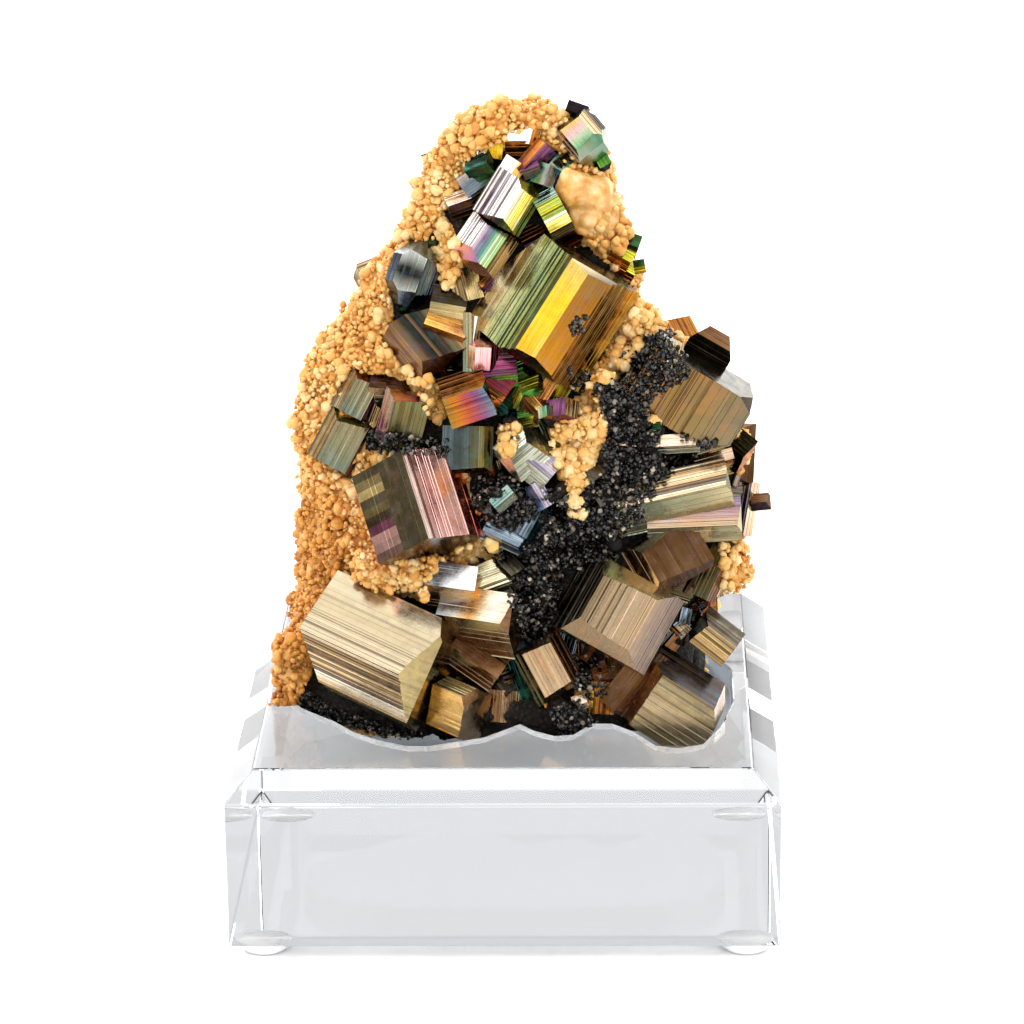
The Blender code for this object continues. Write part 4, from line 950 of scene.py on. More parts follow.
def pyrite_material():
    """Pyrite, iron sulphide, as it grew: a metallic mirror face, dulled a little by tarnish, so
    each face shows one soft reflection in the colour of its film."""
    material, tree, shader = new_material("tarnished_pyrite")
    tint = add_node(tree, "ShaderNodeAttribute", attribute_name="tint").outputs["Color"]
    film = add_node(tree, "ShaderNodeAttribute", attribute_name="film")
    place = add_node(tree, "ShaderNodeTexCoord").outputs["Object"]
    groove_map = add_node(tree, "ShaderNodeUVMap", uv_map="grooves").outputs["UV"]

    fine_map = add_node(tree, "ShaderNodeMapping", {
        "Vector": groove_map, "Scale": (1 / FINE_GROOVE[0], 1 / FINE_GROOVE[1], 1.0)})
    fine = add_node(tree, "ShaderNodeTexNoise", {
        "Vector": fine_map.outputs["Vector"], "Scale": 1.0, "Detail": 3.0})
    streak_map = add_node(tree, "ShaderNodeMapping", {
        "Vector": groove_map, "Scale": (1 / STREAK[0], 1 / STREAK[1], 1.0)})
    streak = add_node(tree, "ShaderNodeTexNoise", {
        "Vector": streak_map.outputs["Vector"], "Scale": 1.0, "Detail": 2.0})
    patches = add_node(tree, "ShaderNodeTexNoise", {
        "Vector": place, "Scale": 1.0 / (FILM_PATCH * MM), "Detail": 3.0, "Distortion": 0.5})
    blotches = add_node(tree, "ShaderNodeTexNoise", {
        "Vector": place, "Scale": 1.0 / (BLOTCH * MM), "Detail": 4.0})
    pits = add_node(tree, "ShaderNodeTexNoise", {
        "Vector": place, "Scale": 1.0 / (PIT * MM), "Detail": 2.0})

    # The film covers the face in clouds that are drawn out along the grooves
    in_patch = add_node(tree, "ShaderNodeMapRange", {
        "Value": patches.outputs["Fac"], "From Min": 0.4, "From Max": 0.62})
    in_streak = add_node(tree, "ShaderNodeMapRange", {
        "Value": streak.outputs["Fac"], "From Min": 0.42, "From Max": 0.62})
    film_here = add_node(tree, "ShaderNodeMath", {
        0: film.outputs["Alpha"], 1: in_patch.outputs["Result"]}, operation='MULTIPLY')
    film_share = add_node(tree, "ShaderNodeMath", {
        0: film_here.outputs["Value"], 1: in_streak.outputs["Result"]}, operation='MULTIPLY')
    filmed = add_node(tree, "ShaderNodeMix", {
        0: film_share.outputs["Value"], 6: tint, 7: film.outputs["Color"]}, data_type='RGBA')

    # Blotches of another thickness take the next colours of the order
    order = add_node(tree, "ShaderNodeValToRGB", {"Fac": patches.outputs["Fac"]}, FILM_ORDER)
    in_blotch = add_node(tree, "ShaderNodeMapRange", {
        "Value": blotches.outputs["Fac"], "From Min": 0.42, "From Max": 0.7,
        "To Max": FILM_SHIFT})
    shifted = add_node(tree, "ShaderNodeMix", {
        0: in_blotch.outputs["Result"], 6: filmed.outputs[2], 7: order.outputs["Color"]},
        data_type='RGBA')

    # Fine grooves and pits darken it: painted shade in the fine grooves and in the pits, which have
    # no depth of their own, and a faint painted sheen where the fine grooves lift it
    fine_shade = add_node(tree, "ShaderNodeMapRange", {
        "Value": fine.outputs["Fac"], "From Min": 0.3, "From Max": 0.7,
        "To Min": 0.86, "To Max": 1.06})
    grooved = add_node(tree, "ShaderNodeMix", {
        0: 1.0, 6: shifted.outputs[2], 7: fine_shade.outputs["Result"]},
        data_type='RGBA', blend_type='MULTIPLY')
    pit_shade = add_node(tree, "ShaderNodeMapRange", {
        "Value": pits.outputs["Fac"], "From Min": 0.22, "From Max": 0.36, "To Min": 0.7})
    pitted = add_node(tree, "ShaderNodeMix", {
        0: 1.0, 6: grooved.outputs[2], 7: pit_shade.outputs["Result"]},
        data_type='RGBA', blend_type='MULTIPLY')
    roughness = add_node(tree, "ShaderNodeMapRange", {
        "Value": blotches.outputs["Fac"], "From Min": 0.35, "From Max": 0.7,
        "To Min": 0.15, "To Max": 0.3})
    groove_bump = add_node(tree, "ShaderNodeBump", {
        "Strength": 0.2, "Distance": 0.04 * MM, "Height": fine.outputs["Fac"]})
    pit_bump = add_node(tree, "ShaderNodeBump", {
        "Strength": 0.35, "Distance": 0.06 * MM, "Height": blotches.outputs["Fac"],
        "Normal": groove_bump.outputs["Normal"]})
    feed(tree, shader, {
        "Base Color": pitted.outputs[2], "Roughness": roughness.outputs["Result"],
        "Normal": pit_bump.outputs["Normal"], "Metallic": 1.0})
    return material


pyrite = pyrite_material()
print("pyrite material:", len(pyrite.node_tree.nodes), "nodes")

# %% [markdown]
# ## Where the specimen meets the block
# The specimen stands in a seat that is ground to its outline. A crystal that reaches below the
# block's top ends at the seat's wall, so a slab with the seat's hollow in it is cut away from
# it. The planes of each crystal are kept too: they tell later what lies inside one.

# %% Planes of a crystal and the slab that cuts it


def crystal_planes(lean, out, length, faces, bevels):
    """Outward normals and distances of every flat face of a crystal."""
    axis, facing, side = crystal_axes(lean, out)
    normals, reach = [], []
    for angle, _ in faces:
        turn = math.radians(angle)
        about = math.cos(turn) * facing + math.sin(turn) * side
        normals += [about, -about]
        reach += [half_width(faces, angle)] * 2
    normals += [axis, -axis]
    reach += [length / 2] * 2
    for end, angle, tilt, cut in bevels:
        tilt, turn = math.radians(tilt), math.radians(angle)
        about = math.cos(turn) * facing + math.sin(turn) * side
        normals.append(end * math.cos(tilt) * axis + math.sin(tilt) * about)
        reach.append(math.cos(tilt) * length / 2 + math.sin(tilt) * half_width(faces, angle) - cut)
    return np.array(normals), np.array(reach)


# The CAD solids keep 0.3 mm between them, so the specimen starts that much above the block
SEAT_FLOOR = 24.3
BLOCK_TOP = 27.3
SEAT_OUTLINE = [
    (-33.5, 4), (-33, -6), (-29, -12), (-24, -17), (-21, -21), (-18, -23.5), (-13.5, -26),
    (-10.5, -26), (-8, -25), (-3, -23), (2, -18), (4, -20.5), (7, -22.5), (9.5, -22), (12, -18),
    (15, -18), (18, -21), (21, -26), (24, -27), (27.5, -25.5), (30, -19.5), (32, -10), (32, 2),
    (29, 12), (22, 18), (8, 20), (-8, 20), (-22, 18), (-31, 12),
]


def seat_outline(shrink):
    """The seat's outline drawn in by a margin towards its middle."""
    spokes = np.array(SEAT_OUTLINE, float) - (0, -2)
    length = np.linalg.norm(spokes, axis=1, keepdims=True)
    return spokes * (1 - shrink / length) + (0, -2)


def upright_prism(name, outline, low, high):
    """Closed prism on an outline; it only cuts and is never shown."""
    count = len(outline)
    ring = np.tile(outline, (2, 1))
    points = np.concatenate([ring, np.repeat([low, high], count)[:, None]], 1) * MM
    step = np.arange(count)
    after = (step + 1) % count
    faces = np.stack([step, after, after + count, step + count], 1).tolist()
    faces += [step[::-1].tolist(), (step + count).tolist()]
    mesh = bpy.data.meshes.new(name)
    mesh.from_pydata(points.tolist(), [], faces)
    return bpy.data.objects.new(name, mesh)


def cut_away(piece, tool):
    """Take one closed solid away from another and keep the result as the piece's mesh."""
    bpy.context.scene.collection.objects.link(tool)
    cut = piece.modifiers.new("cut", 'BOOLEAN')
    cut.operation = 'DIFFERENCE'
    cut.solver = 'EXACT'
    cut.object = tool
    evaluated = piece.evaluated_get(bpy.context.evaluated_depsgraph_get())
    mesh = bpy.data.meshes.new_from_object(evaluated)
    piece.modifiers.clear()
    piece.data = mesh
    bpy.context.scene.collection.objects.unlink(tool)


SLAB_CORNERS = np.array([(-50, -50), (50, -50), (50, 50), (-50, 50)], float)
slab = upright_prism("slab", SLAB_CORNERS, SEAT_FLOOR - 14, BLOCK_TOP)
hollow = upright_prism("hollow", seat_outline(0.4), SEAT_FLOOR, BLOCK_TOP + 5)
bpy.context.scene.collection.objects.link(slab)
cut_away(slab, hollow)
bpy.context.scene.collection.objects.unlink(slab)
print("slab with the seat's hollow:", len(slab.data.polygons), "faces")

# %% [markdown]
# ## The crystals of the front, one by one
# Each row of the table grows one crystal with its own seed, so the grooves never repeat from
# one crystal to the next. They go into one mesh, since on the real thing they are grown into
# each other. Only those that are cut at the seat are pieces of their own.

# %% Grow the front crystals
planes_of_all = []
front = Growth()
low_pieces = []
for index, row in enumerate(CRYSTALS):
    name, middle, lean, out, length, faces, bevels, sides, *ends = row
    single = Growth()
    grow(single, np.array(middle), lean, out, length, faces, bevels, sides.split(), ends,
         np.random.default_rng(100 + index))
    planes_of_all.append((np.array(middle), *crystal_planes(lean, out, length, faces, bevels)))
    if single.points[0][:, 2].min() < BLOCK_TOP * MM:
        piece = crystal_piece("pyrite_" + name, single, pyrite)
        cut_away(piece, slab)
        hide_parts("specimen")
        low_pieces.append(piece)
    else:
        front.add(single.points[0], single.faces, single.tints[0], single.places[0],
                  single.films[0])
front_piece = crystal_piece("pyrite_crystals_front", front, pyrite)
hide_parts("specimen")
front_pieces = [front_piece] + low_pieces
print("front crystals:", sum(len(piece.data.polygons) for piece in front_pieces), "faces,",
      len(low_pieces), "crystals cut at the seat")

# %% [markdown]
# ## The matrix
# Under the crystals lies a body of fine-grained sulphide and calcite. Its outline is a rounded
# square at every height, wider at the foot. The lumps of the crust are melted into it, and
# the fine crust below is sown on this skin.

# %% Table of the matrix and its lumps
# Height, left, right, near and far side of the matrix
MATRIX_STATIONS = [
    (24.3, -30.5, 28.5, -18, 15),
    (28, -31.5, 28.5, -18.5, 15.5),
    (34, -31, 29, -14, 16.5),
    (45, -29, 30, -11.5, 17),
    (57, -28.5, 31.5, -10, 16),
    (66, -28.5, 30.5, -8.5, 14.5),
    (72, -28, 27, -7, 13),
    (77, -24, 22, -5.5, 12),
    (83, -20, 18, -3.5, 11),
    (90, -15, 16, -1.5, 10),
    (98, -11.5, 13.5, 0, 8.5),
    (104, -8, 12, 0.5, 7),
    (108.5, -4, 8.5, 1, 5.5),
    (110, 0, 5, 2, 4.5),
]
MATRIX_SQUARENESS = 2.6
MATRIX_WOBBLE = 0.7
MATRIX_WOBBLE_SPACING = 9.0
# Name, lowest and highest, from and to angle, how many lumps, smallest and largest radius
CRUST_ZONES = [
    ("left_crust", 28, 78, 140, 222, 120, 1.5, 2.7),
    ("upper_left_crust", 76, 108, 110, 245, 80, 1.3, 2.3),
    ("crest_crust", 103, 110, 0, 360, 46, 1.2, 2.2),
    ("right_crust", 28, 90, -12, 50, 60, 1.4, 2.6),
    ("back_crust", 26, 106, 50, 140, 130, 1.6, 3.2),
    ("calcite_mass", 88, 103, -50, 30, 26, 2.2, 3.4),
]
# Name, middle, reach to each side, how many lumps, smallest and largest radius
CRUST_PATCHES = [
    ("popcorn_cluster", (9.5, -9.5, 65), (3.5, 1.2, 6), 26, 1.1, 1.9),
    ("pale_lumps_under_cube", (-15, -14, 48), (5, 1.5, 2.5), 16, 1.2, 2.2),
    ("calcite_beside_prism", (17, -5, 79), (3, 1.2, 4), 16, 1.2, 2.0),
    ("white_cluster", (1, -10, 67), (1, 0.6, 2), 7, 0.9, 1.4),
    ("black_crust_right", (18, -10, 67), (5, 1, 8), 60, 0.9, 1.7),
    ("black_crust_right_low", (13, -11.5, 56), (3, 1, 5), 26, 0.9, 1.6),
    ("black_crust_middle", (3, -12, 56), (6.5, 1, 4), 46, 0.9, 1.6),
    ("black_crust_gap", (4, -13, 46), (3, 1, 5), 20, 0.9, 1.6),
    ("low_crust_left", (-29, -9, 31), (3, 3, 5), 26, 1.4, 2.4),
    ("right_flank", (31, -1, 54), (1, 2.5, 10), 24, 1.8, 3.0),
    ("foot_crust", (9, -18.5, 28.5), (2, 1.2, 1.2), 12, 1.2, 2.0),
]
CRUST_SEED = 31
LUMP_EMBED = 0.35
print("matrix:", len(MATRIX_STATIONS), "levels and", len(CRUST_ZONES) + len(CRUST_PATCHES),
      "crusts")

# %% [markdown]
# ## A body from rings
# The matrix could be sculpted by hand, but a few measured levels say as much: a ring of points
# at each height, joined by quads, is a closed body that is easy to change. Its slow waver is
# the CAD model's own noise, read point by point, so that both skins agree.

# %% Rings, lumps and outlines


def matrix_point(height, angle):
    """Point of the matrix: (|cos|, |sin|) to the power 2 / squareness at each height, scaled
    to its width and depth there, and moved outward by a slow noise."""
    stations = np.array(MATRIX_STATIONS)
    left, right, near, far = (np.interp(height, stations[:, 0], stations[:, k])
                              for k in (1, 2, 3, 4))
    turn = math.radians(angle)
    power = 2 / MATRIX_SQUARENESS
    across = math.copysign(abs(math.cos(turn)) ** power, math.cos(turn))
    deep = math.copysign(abs(math.sin(turn)) ** power, math.sin(turn))
    x = (left + right) / 2 + across * (right - left) / 2
    y = (near + far) / 2 + deep * (far - near) / 2
    place = Vector((x, y, height))
    waver = MATRIX_WOBBLE * noise.noise(place / MATRIX_WOBBLE_SPACING)
    return place + waver * Vector((math.cos(turn), math.sin(turn), 0))


def tube_faces(rows, columns):
    """Quads of a grid whose last column joins the first, and one cap at each end."""
    step = np.arange(columns)
    caps = [step[::-1].tolist(), ((rows - 1) * columns + step).tolist()]
    return ring_quads(rows - 1, columns).tolist() + caps


def unit_lump(subdivisions):
    """Points and triangles of a ball of radius 1."""
    bm = bmesh.new()
    bmesh.ops.create_icosphere(bm, subdivisions=subdivisions, radius=1.0)
    points = np.array([vert.co[:] for vert in bm.verts])
    faces = np.array([[vert.index for vert in face.verts] for face in bm.faces])
    bm.free()
    return points, faces


def inside_outline(points, outline):
    """Whether points in a plane lie inside a closed outline, by counting crossings."""
    outline = np.array(outline, float)
    inside = np.zeros(len(points), bool)
    for start, stop in zip(outline, np.roll(outline, -1, 0)):
        spans = (start[1] > points[:, 1]) != (stop[1] > points[:, 1])
        run = (stop[0] - start[0]) * (points[:, 1] - start[1])
        rise = stop[1] - start[1]
        inside ^= spans & (points[:, 0] < run / (rise if rise else 1e-9) + start[0])
    return inside


def inside_any(points, outlines):
    """Whether points in a plane lie inside at least one of some outlines."""
    return np.any([inside_outline(points, outline) for outline in outlines], 0)


def rest_on_block(points, margin=0.5):
    """Lift points in millimetres that would reach into the block: to its top, or to the
    seat's floor inside the seat."""
    in_seat = inside_outline(points[:, :2], seat_outline(margin))
    floor_level = np.where(in_seat, SEAT_FLOOR + 0.05, BLOCK_TOP + 0.05)
    lifted = points.copy()
    lifted[:, 2] = np.maximum(points[:, 2], floor_level)
    return lifted


print("a lump has", len(unit_lump(1)[1]), "or", len(unit_lump(2)[1]), "faces")

# %% [markdown]
# ## The coarse lumps
# Each lump is a ball, squashed a little, with its middle just under the skin. The seed and the
# order of the draws are the CAD model's, so every lump lies where the solid has it.

# %% Place the lumps
MATRIX_COLUMNS = 36
heights = [station[0] for station in MATRIX_STATIONS]
angles = np.arange(MATRIX_COLUMNS) * 360 / MATRIX_COLUMNS
loft = [matrix_point(height, angle) for height in heights for angle in angles]
base_points = [np.array(loft)]
base_faces = [np.array(face) for face in tube_faces(len(heights), MATRIX_COLUMNS)]
ball_points, ball_faces = unit_lump(2)
rng = random.Random(CRUST_SEED)
lump_places = []
for _, low, high, start, stop, count, small, large in CRUST_ZONES:
    for _ in range(count):
        height, angle = rng.uniform(low, high), rng.uniform(start, stop)
        radius = rng.uniform(small, large)
        spot = matrix_point(height, angle)
        inward = Vector((0, 0, spot.z)) - spot
        squash = [rng.uniform(0.8, 1.15) for _ in range(3)]
        lump_places.append((spot + LUMP_EMBED * radius * inward.normalized(), radius, squash))
for _, middle, spread, count, small, large in CRUST_PATCHES:
    for _ in range(count):
        spot = Vector(middle) + Vector(rng.uniform(-1, 1) * reach for reach in spread)
        radius = rng.uniform(small, large)
        squash = [rng.uniform(0.8, 1.15) for _ in range(3)]
        lump_places.append((spot, radius, squash))
used = len(loft)
for spot, radius, squash in lump_places:
    base_points.append(ball_points * radius * np.array(squash) + np.array(spot))
    base_faces += list(ball_faces + used)
    used += len(ball_points)
print("lumps:", len(lump_places))

# %% [markdown]
# ## Calcite and dark rock
# Light goes into calcite, scatters between its grains and comes out warm, so it gets
# subsurface scattering, and a ramp from cream to brown follows each knob's tone. Paint alone
# would look like plaster. The rock between the crystals is the opposite, black and dull.

# %% Honey calcite and dark rock


def calcite_material():
    """Calcite stained honey by iron, in crusts of tiny crystals as it grew: it scatters light
    inside, so it glows at thin edges, and its sugary faces give it a dull shine."""
    material, tree, shader = new_material("honey_calcite")
    tone = add_node(tree, "ShaderNodeAttribute", attribute_name="tone").outputs["Fac"]
    place = add_node(tree, "ShaderNodeTexCoord").outputs["Object"]
    drift = add_node(tree, "ShaderNodeTexNoise", {
        "Vector": place, "Scale": 1.0 / (6 * MM), "Detail": 3.0})
    sugar = add_node(tree, "ShaderNodeTexNoise", {
        "Vector": place, "Scale": 1.0 / (0.22 * MM), "Detail": 3.0})
    shifted = add_node(tree, "ShaderNodeMath", {
        0: drift.outputs["Fac"], 1: 0.55, 2: tone}, operation='MULTIPLY_ADD')
    colour = add_node(tree, "ShaderNodeValToRGB", {"Fac": shifted.outputs["Value"]}, [
        (0.15, "#ECCC96"), (0.36, "#E0AE60"), (0.56, "#CE8C30"), (0.78, "#AA681A"),
        (1.0, "#5E360F")])
    bump = add_node(tree, "ShaderNodeBump", {
        "Strength": 0.7, "Distance": 0.12 * MM, "Height": sugar.outputs["Fac"]})
    feed(tree, shader, {
        "Base Color": colour.outputs["Color"], "Normal": bump.outputs["Normal"],
        "Roughness": 0.6, "IOR": 1.6, "Subsurface Weight": 0.3,
        "Subsurface Radius": (1.0, 0.5, 0.2), "Subsurface Scale": 0.7 * MM})
    return material


def rock_material():
    """Fine-grained sulphide rock, broken and never polished: nearly black and dull, so the
    crystals stand out from it. In the recesses between crystals its near-black is partly painted
    shade."""
    material, tree, shader = new_material("dark_matrix_rock")
    place = add_node(tree, "ShaderNodeTexCoord").outputs["Object"]
    grain = add_node(tree, "ShaderNodeTexNoise", {
        "Vector": place, "Scale": 1.0 / (0.5 * MM), "Detail": 5.0})
    colour = add_node(tree, "ShaderNodeValToRGB", {"Fac": grain.outputs["Fac"]}, [
        (0.35, "#070605"), (0.55, "#15110C"), (0.72, "#3E301C")])
    bump = add_node(tree, "ShaderNodeBump", {
        "Strength": 1.0, "Distance": 0.6 * MM, "Height": grain.outputs["Fac"]})
    feed(tree, shader, {
        "Base Color": colour.outputs["Color"], "Normal": bump.outputs["Normal"],
        "Roughness": 0.65, "IOR": 1.45, "Specular IOR Level": 0.25})
    return material


calcite = calcite_material()
dark_rock = rock_material()
print("materials:", calcite.name, "and", dark_rock.name)

# %% [markdown]
# ## One skin
# A voxel remesh melts the lumps and the matrix into one skin, as minerals grow over each
# other. A Boolean union of hundreds of lumps would be slower and would leave creases. The skin
# sinks a little, and round knobs are raised on it to the height of the CAD model's.

# %% Melt the matrix and raise its knobs
SKIN_VOXEL = 0.46
SKIN_SINK = 1.0
KNOB_RADIUS = 1.15
KNOB_HEIGHT = 0.75


def melt_together(piece, voxel):
    """Melt the lumps of a piece into one skin, on a grid of voxels as large as given."""
    melt = piece.modifiers.new("melt", 'REMESH')
    melt.mode = 'VOXEL'
    melt.voxel_size = voxel * MM
    melt.use_smooth_shade = True


def knobs(points, seeds, radius, block=4000):
    """Height of round knobs over a skin: the cap sqrt(1 - (d / radius)^2) of the nearest seed
    at distance d, from 0 between the knobs to 1 on top of one."""
    nearest = np.empty(len(points))
    for start in range(0, len(points), block):
        some = points[start:start + block]
        gap = (some ** 2).sum(1)[:, None] + (seeds ** 2).sum(1) - 2 * some @ seeds.T
        nearest[start:start + block] = gap.min(1)
    return np.sqrt(np.clip(1 - nearest / radius ** 2, 0, 1))


matrix_piece = new_piece("matrix_rock", np.concatenate(base_points) * MM, base_faces, calcite,
                         True)
melt_together(matrix_piece, SKIN_VOXEL)
evaluated = matrix_piece.evaluated_get(bpy.context.evaluated_depsgraph_get())
melted = bpy.data.meshes.new_from_object(evaluated)
matrix_piece.modifiers.clear()
count = len(melted.vertices)
skin = np.empty(count * 3)
melted.vertices.foreach_get("co", skin)
outward = np.empty(count * 3)
melted.vertices.foreach_get("normal", outward)
skin = skin.reshape(-1, 3) / MM
outward = outward.reshape(-1, 3)
knob_rng = np.random.default_rng(3)
seeds = skin[knob_rng.choice(count, count // 9, replace=False)]
cap = knobs(skin, seeds, KNOB_RADIUS)
skin = rest_on_block(skin + (KNOB_HEIGHT * cap - SKIN_SINK)[:, None] * outward)
melted.vertices.foreach_set("co", (skin * MM).ravel())
# The skin is darker between its knobs than on top of them: painted shade of the crevices.
tone = melted.attributes.new("tone", 'FLOAT', 'POINT')
tone.data.foreach_set("value", 0.42 - 0.3 * cap)
melted.update()
matrix_piece.data = melted
matrix_piece.name = "crust_skin"
melted.materials.append(dark_rock)
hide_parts("specimen")
print("matrix:", len(melted.polygons), "faces")

# %% [markdown]
# ## Crystals round the back
# The photo shows one side only. The sides and the back carry crystals of the same habit, sown
# with a seed, at the places where the CAD model has them.

# %% Grow the rear crystals
REAR_MARGIN = 6
rear = Growth()
rng = random.Random(REAR_SEED)
low, high = heights[0] + REAR_MARGIN, heights[-1] - REAR_MARGIN
for index in range(REAR_CRYSTALS):
    height = low + (high - low) * (index + rng.uniform(0.1, 0.9)) / REAR_CRYSTALS
    angle = rng.uniform(*REAR_ANGLES)
    size = rng.uniform(*REAR_SIZE) * (1.0 if height < 80 else 0.65)
    middle = matrix_point(height, angle)
    middle = np.array((middle.x * 0.97, middle.y, middle.z))
    faces = [(rng.uniform(-45, -15), size), (rng.uniform(20, 55), size * rng.uniform(0.6, 1.0))]
    bevels = [(rng.choice((1, -1)), rng.uniform(-180, 180), 38, size * 0.18)]
    lean, out = rng.uniform(-90, 90), rng.uniform(-25, 25)
    length = size * rng.uniform(0.9, 1.4)
    pick = np.random.default_rng(500 + index)
    looks = [REAR_LOOKS[k] for k in pick.integers(0, len(REAR_LOOKS), 4)]
    grow(rear, middle, lean, out, length, faces, bevels, looks[:2], looks[2:], pick)
    planes_of_all.append((middle, *crystal_planes(lean, out, length, faces, bevels)))
rear_piece = crystal_piece("pyrite_crystals_rear", rear, pyrite)
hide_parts("specimen")
print("rear crystals:", len(rear_piece.data.polygons), "faces")

# %% [markdown]
# ## Calcite and black crust
# The honey calcite is a crust of rounded knobs, each a bunch of tiny crystals, about a
# millimetre across. The black crust is made of smaller, sharp, glossy grains. Knobs are sown
# over the matrix wherever no crystal covers it; grains are dropped along the camera's rays
# onto the spots that are black in the photo, so they lie on whatever is there.

# %% Black grains


def grain_material():
    """Black zinc blende in small sharp crystals as they grew: dark glass that shows its glints.
    The palest tones of a few grains are painted glints."""
    material, tree, shader = new_material("black_sphalerite_grains")
    tone = add_node(tree, "ShaderNodeAttribute", attribute_name="tone").outputs["Fac"]
    # The palest stops, for the grains with the highest tone, are painted glints.
    colour = add_node(tree, "ShaderNodeValToRGB", {"Fac": tone}, [
        (0.0, "#020202"), (0.68, "#090807"), (0.82, "#2A2420"), (0.94, "#6A6054"),
        (1.0, "#B8AC98")])
    feed(tree, shader, {
        "Base Color": colour.outputs["Color"], "Roughness": 0.22, "IOR": 1.5})
    return material


grains_black = grain_material()
print("grain material:", len(grains_black.node_tree.nodes), "nodes")

# %% [markdown]
# ## Where the crusts lie
# The outlines were drawn over the photo. A point belongs to a crust if the camera sees
# it inside that outline. The sides and the back have none, so calcite covers what no crystal
# covers.

# %% Outlines of the crusts, in pixels
# The black crust and, further down, the pale calcite on the front
BLACK_AREAS = {
    "right": [(590, 395), (628, 345), (650, 330), (668, 330), (690, 372), (665, 395),
              (650, 400), (650, 425), (700, 440), (720, 440), (700, 455), (660, 480),
              (640, 520), (610, 540), (590, 530), (575, 500), (598, 470), (608, 430)],
    "middle": [(470, 480), (500, 470), (560, 490), (600, 535), (620, 560), (560, 570),
               (520, 570), (490, 560), (480, 520)],
    "over_cube": [(368, 430), (447, 440), (447, 458), (368, 450)],
    "bottom": [(300, 690), (325, 700), (350, 715), (430, 735), (470, 742), (460, 748),
               (340, 725), (300, 712)],
    "foot": [(552, 712), (580, 700), (600, 735), (560, 738)],
    "gap": [(515, 565), (560, 560), (560, 600), (545, 640), (520, 640), (508, 600)],
    "low_gap": [(572, 655), (596, 655), (606, 690), (588, 700), (574, 684)],
    "prism_speck": [(570, 328), (576, 316), (584, 322), (584, 334), (572, 338)],
    "prism_dot": [(583, 316), (588, 316), (588, 321), (583, 321)],
    "prism_foot": [(566, 364), (574, 374), (592, 368), (597, 372), (590, 384), (580, 395),
                   (570, 386)],
}
# Bare flakes of pyrite that show through the black crust
FLAKES = ["tan_flake_left", "tan_flake_right", "white_flake", "teal_flake", "violet_flake",
          "blue_flake", "blue_fan", "silver_crumple", "silver_crumple_low"]
CALCITE_AREAS = {
    "beside_stripes": [(441, 214), (452, 226), (460, 244), (462, 262), (456, 284), (446, 294),
                       (438, 276), (434, 250), (436, 228)],
    "cluster": [(552, 430), (575, 400), (600, 395), (607, 420), (600, 450), (590, 470),
                (580, 500), (585, 520), (572, 515), (565, 480), (548, 450)],
    "small_white": [(497, 424), (517, 424), (515, 456), (500, 456)],
    "prism_side": [(600, 370), (618, 345), (640, 300), (655, 290), (655, 330), (640, 350),
                   (620, 370), (605, 385)],
    "under_cube": [(360, 575), (400, 560), (432, 575), (425, 600), (395, 590)],
    "under_cube_right": [(456, 545), (480, 536), (503, 548), (490, 562), (462, 560)],
    "right_edge": [(720, 540), (735, 545), (735, 600), (722, 590)],
    "beside_strip": [(400, 366), (425, 372), (445, 395), (440, 425), (425, 412), (420, 395)],
}
# Between the crystals of the middle there is dark rock and no calcite; its near-black there is
# partly painted shade of the recesses
DARK_AREA = [
    (478, 150), (560, 150), (575, 200), (590, 250), (640, 290), (600, 360), (560, 420),
    (640, 420), (740, 440), (742, 530), (715, 560), (705, 600), (740, 640), (740, 740),
    (480, 750), (350, 722), (300, 700), (318, 640), (400, 600), (470, 560), (470, 470),
    (440, 440), (365, 450), (365, 400), (430, 385), (392, 335), (392, 270), (440, 230),
    (452, 190),
]
MASS_AREA = [(550, 167), (602, 178), (619, 203), (631, 226), (613, 249), (579, 238), (569, 226)]
print("black areas:", len(BLACK_AREAS), "and pale ones:", len(CALCITE_AREAS))

# %% [markdown]
# ## Finding the spots
# There are two ways to find the spots: at random over the skin, as many per area, and along
# the camera's rays through an outline. The first gives an even crust, and the second puts
# grains on whatever the camera sees first, crystal or rock.

# %% Spots on the skin and along rays
# Measured at the specimen's middle
PIXELS_PER_MM = 7.4


def ray_tree(pieces):
    """One tree of all the pieces' faces, for rays."""
    points, faces = [], []
    for piece in pieces:
        used = len(points)
        points += [vert.co[:] for vert in piece.data.vertices]
        faces += [[index + used for index in face.vertices] for face in piece.data.polygons]
    return BVHTree.FromPolygons(points, faces)


def in_crystal(points, margin, planes):
    """Whether points in millimetres lie inside any crystal, or within a margin of one."""
    inside = np.zeros(len(points), bool)
    for middle, normals, reach in planes:
        inside |= np.all((points - middle) @ normals.T < reach + margin, 1)
    return inside


def sown_on_matrix(spacing, rng):
    """Random points of the matrix's skin, as many per area as one for spacing squared, with
    the normal there."""
    melted.calc_loop_triangles()
    corners = np.empty(len(melted.loop_triangles) * 3, int)
    melted.loop_triangles.foreach_get("vertices", corners)
    a, b, c = skin[corners.reshape(-1, 3)].transpose(1, 0, 2)
    normal = np.cross(b - a, c - a)
    area = np.linalg.norm(normal, axis=1) / 2
    total = int(area.sum() / spacing ** 2)
    chosen = rng.choice(len(area), total, p=area / area.sum())
    u, v = rng.random((2, total))
    flip = u + v > 1
    u, v = np.where(flip, 1 - u, u), np.where(flip, 1 - v, v)
    spots = a[chosen] + u[:, None] * (b - a)[chosen] + v[:, None] * (c - a)[chosen]
    return spots, normal[chosen] / (2 * area[chosen] + 1e-12)[:, None]


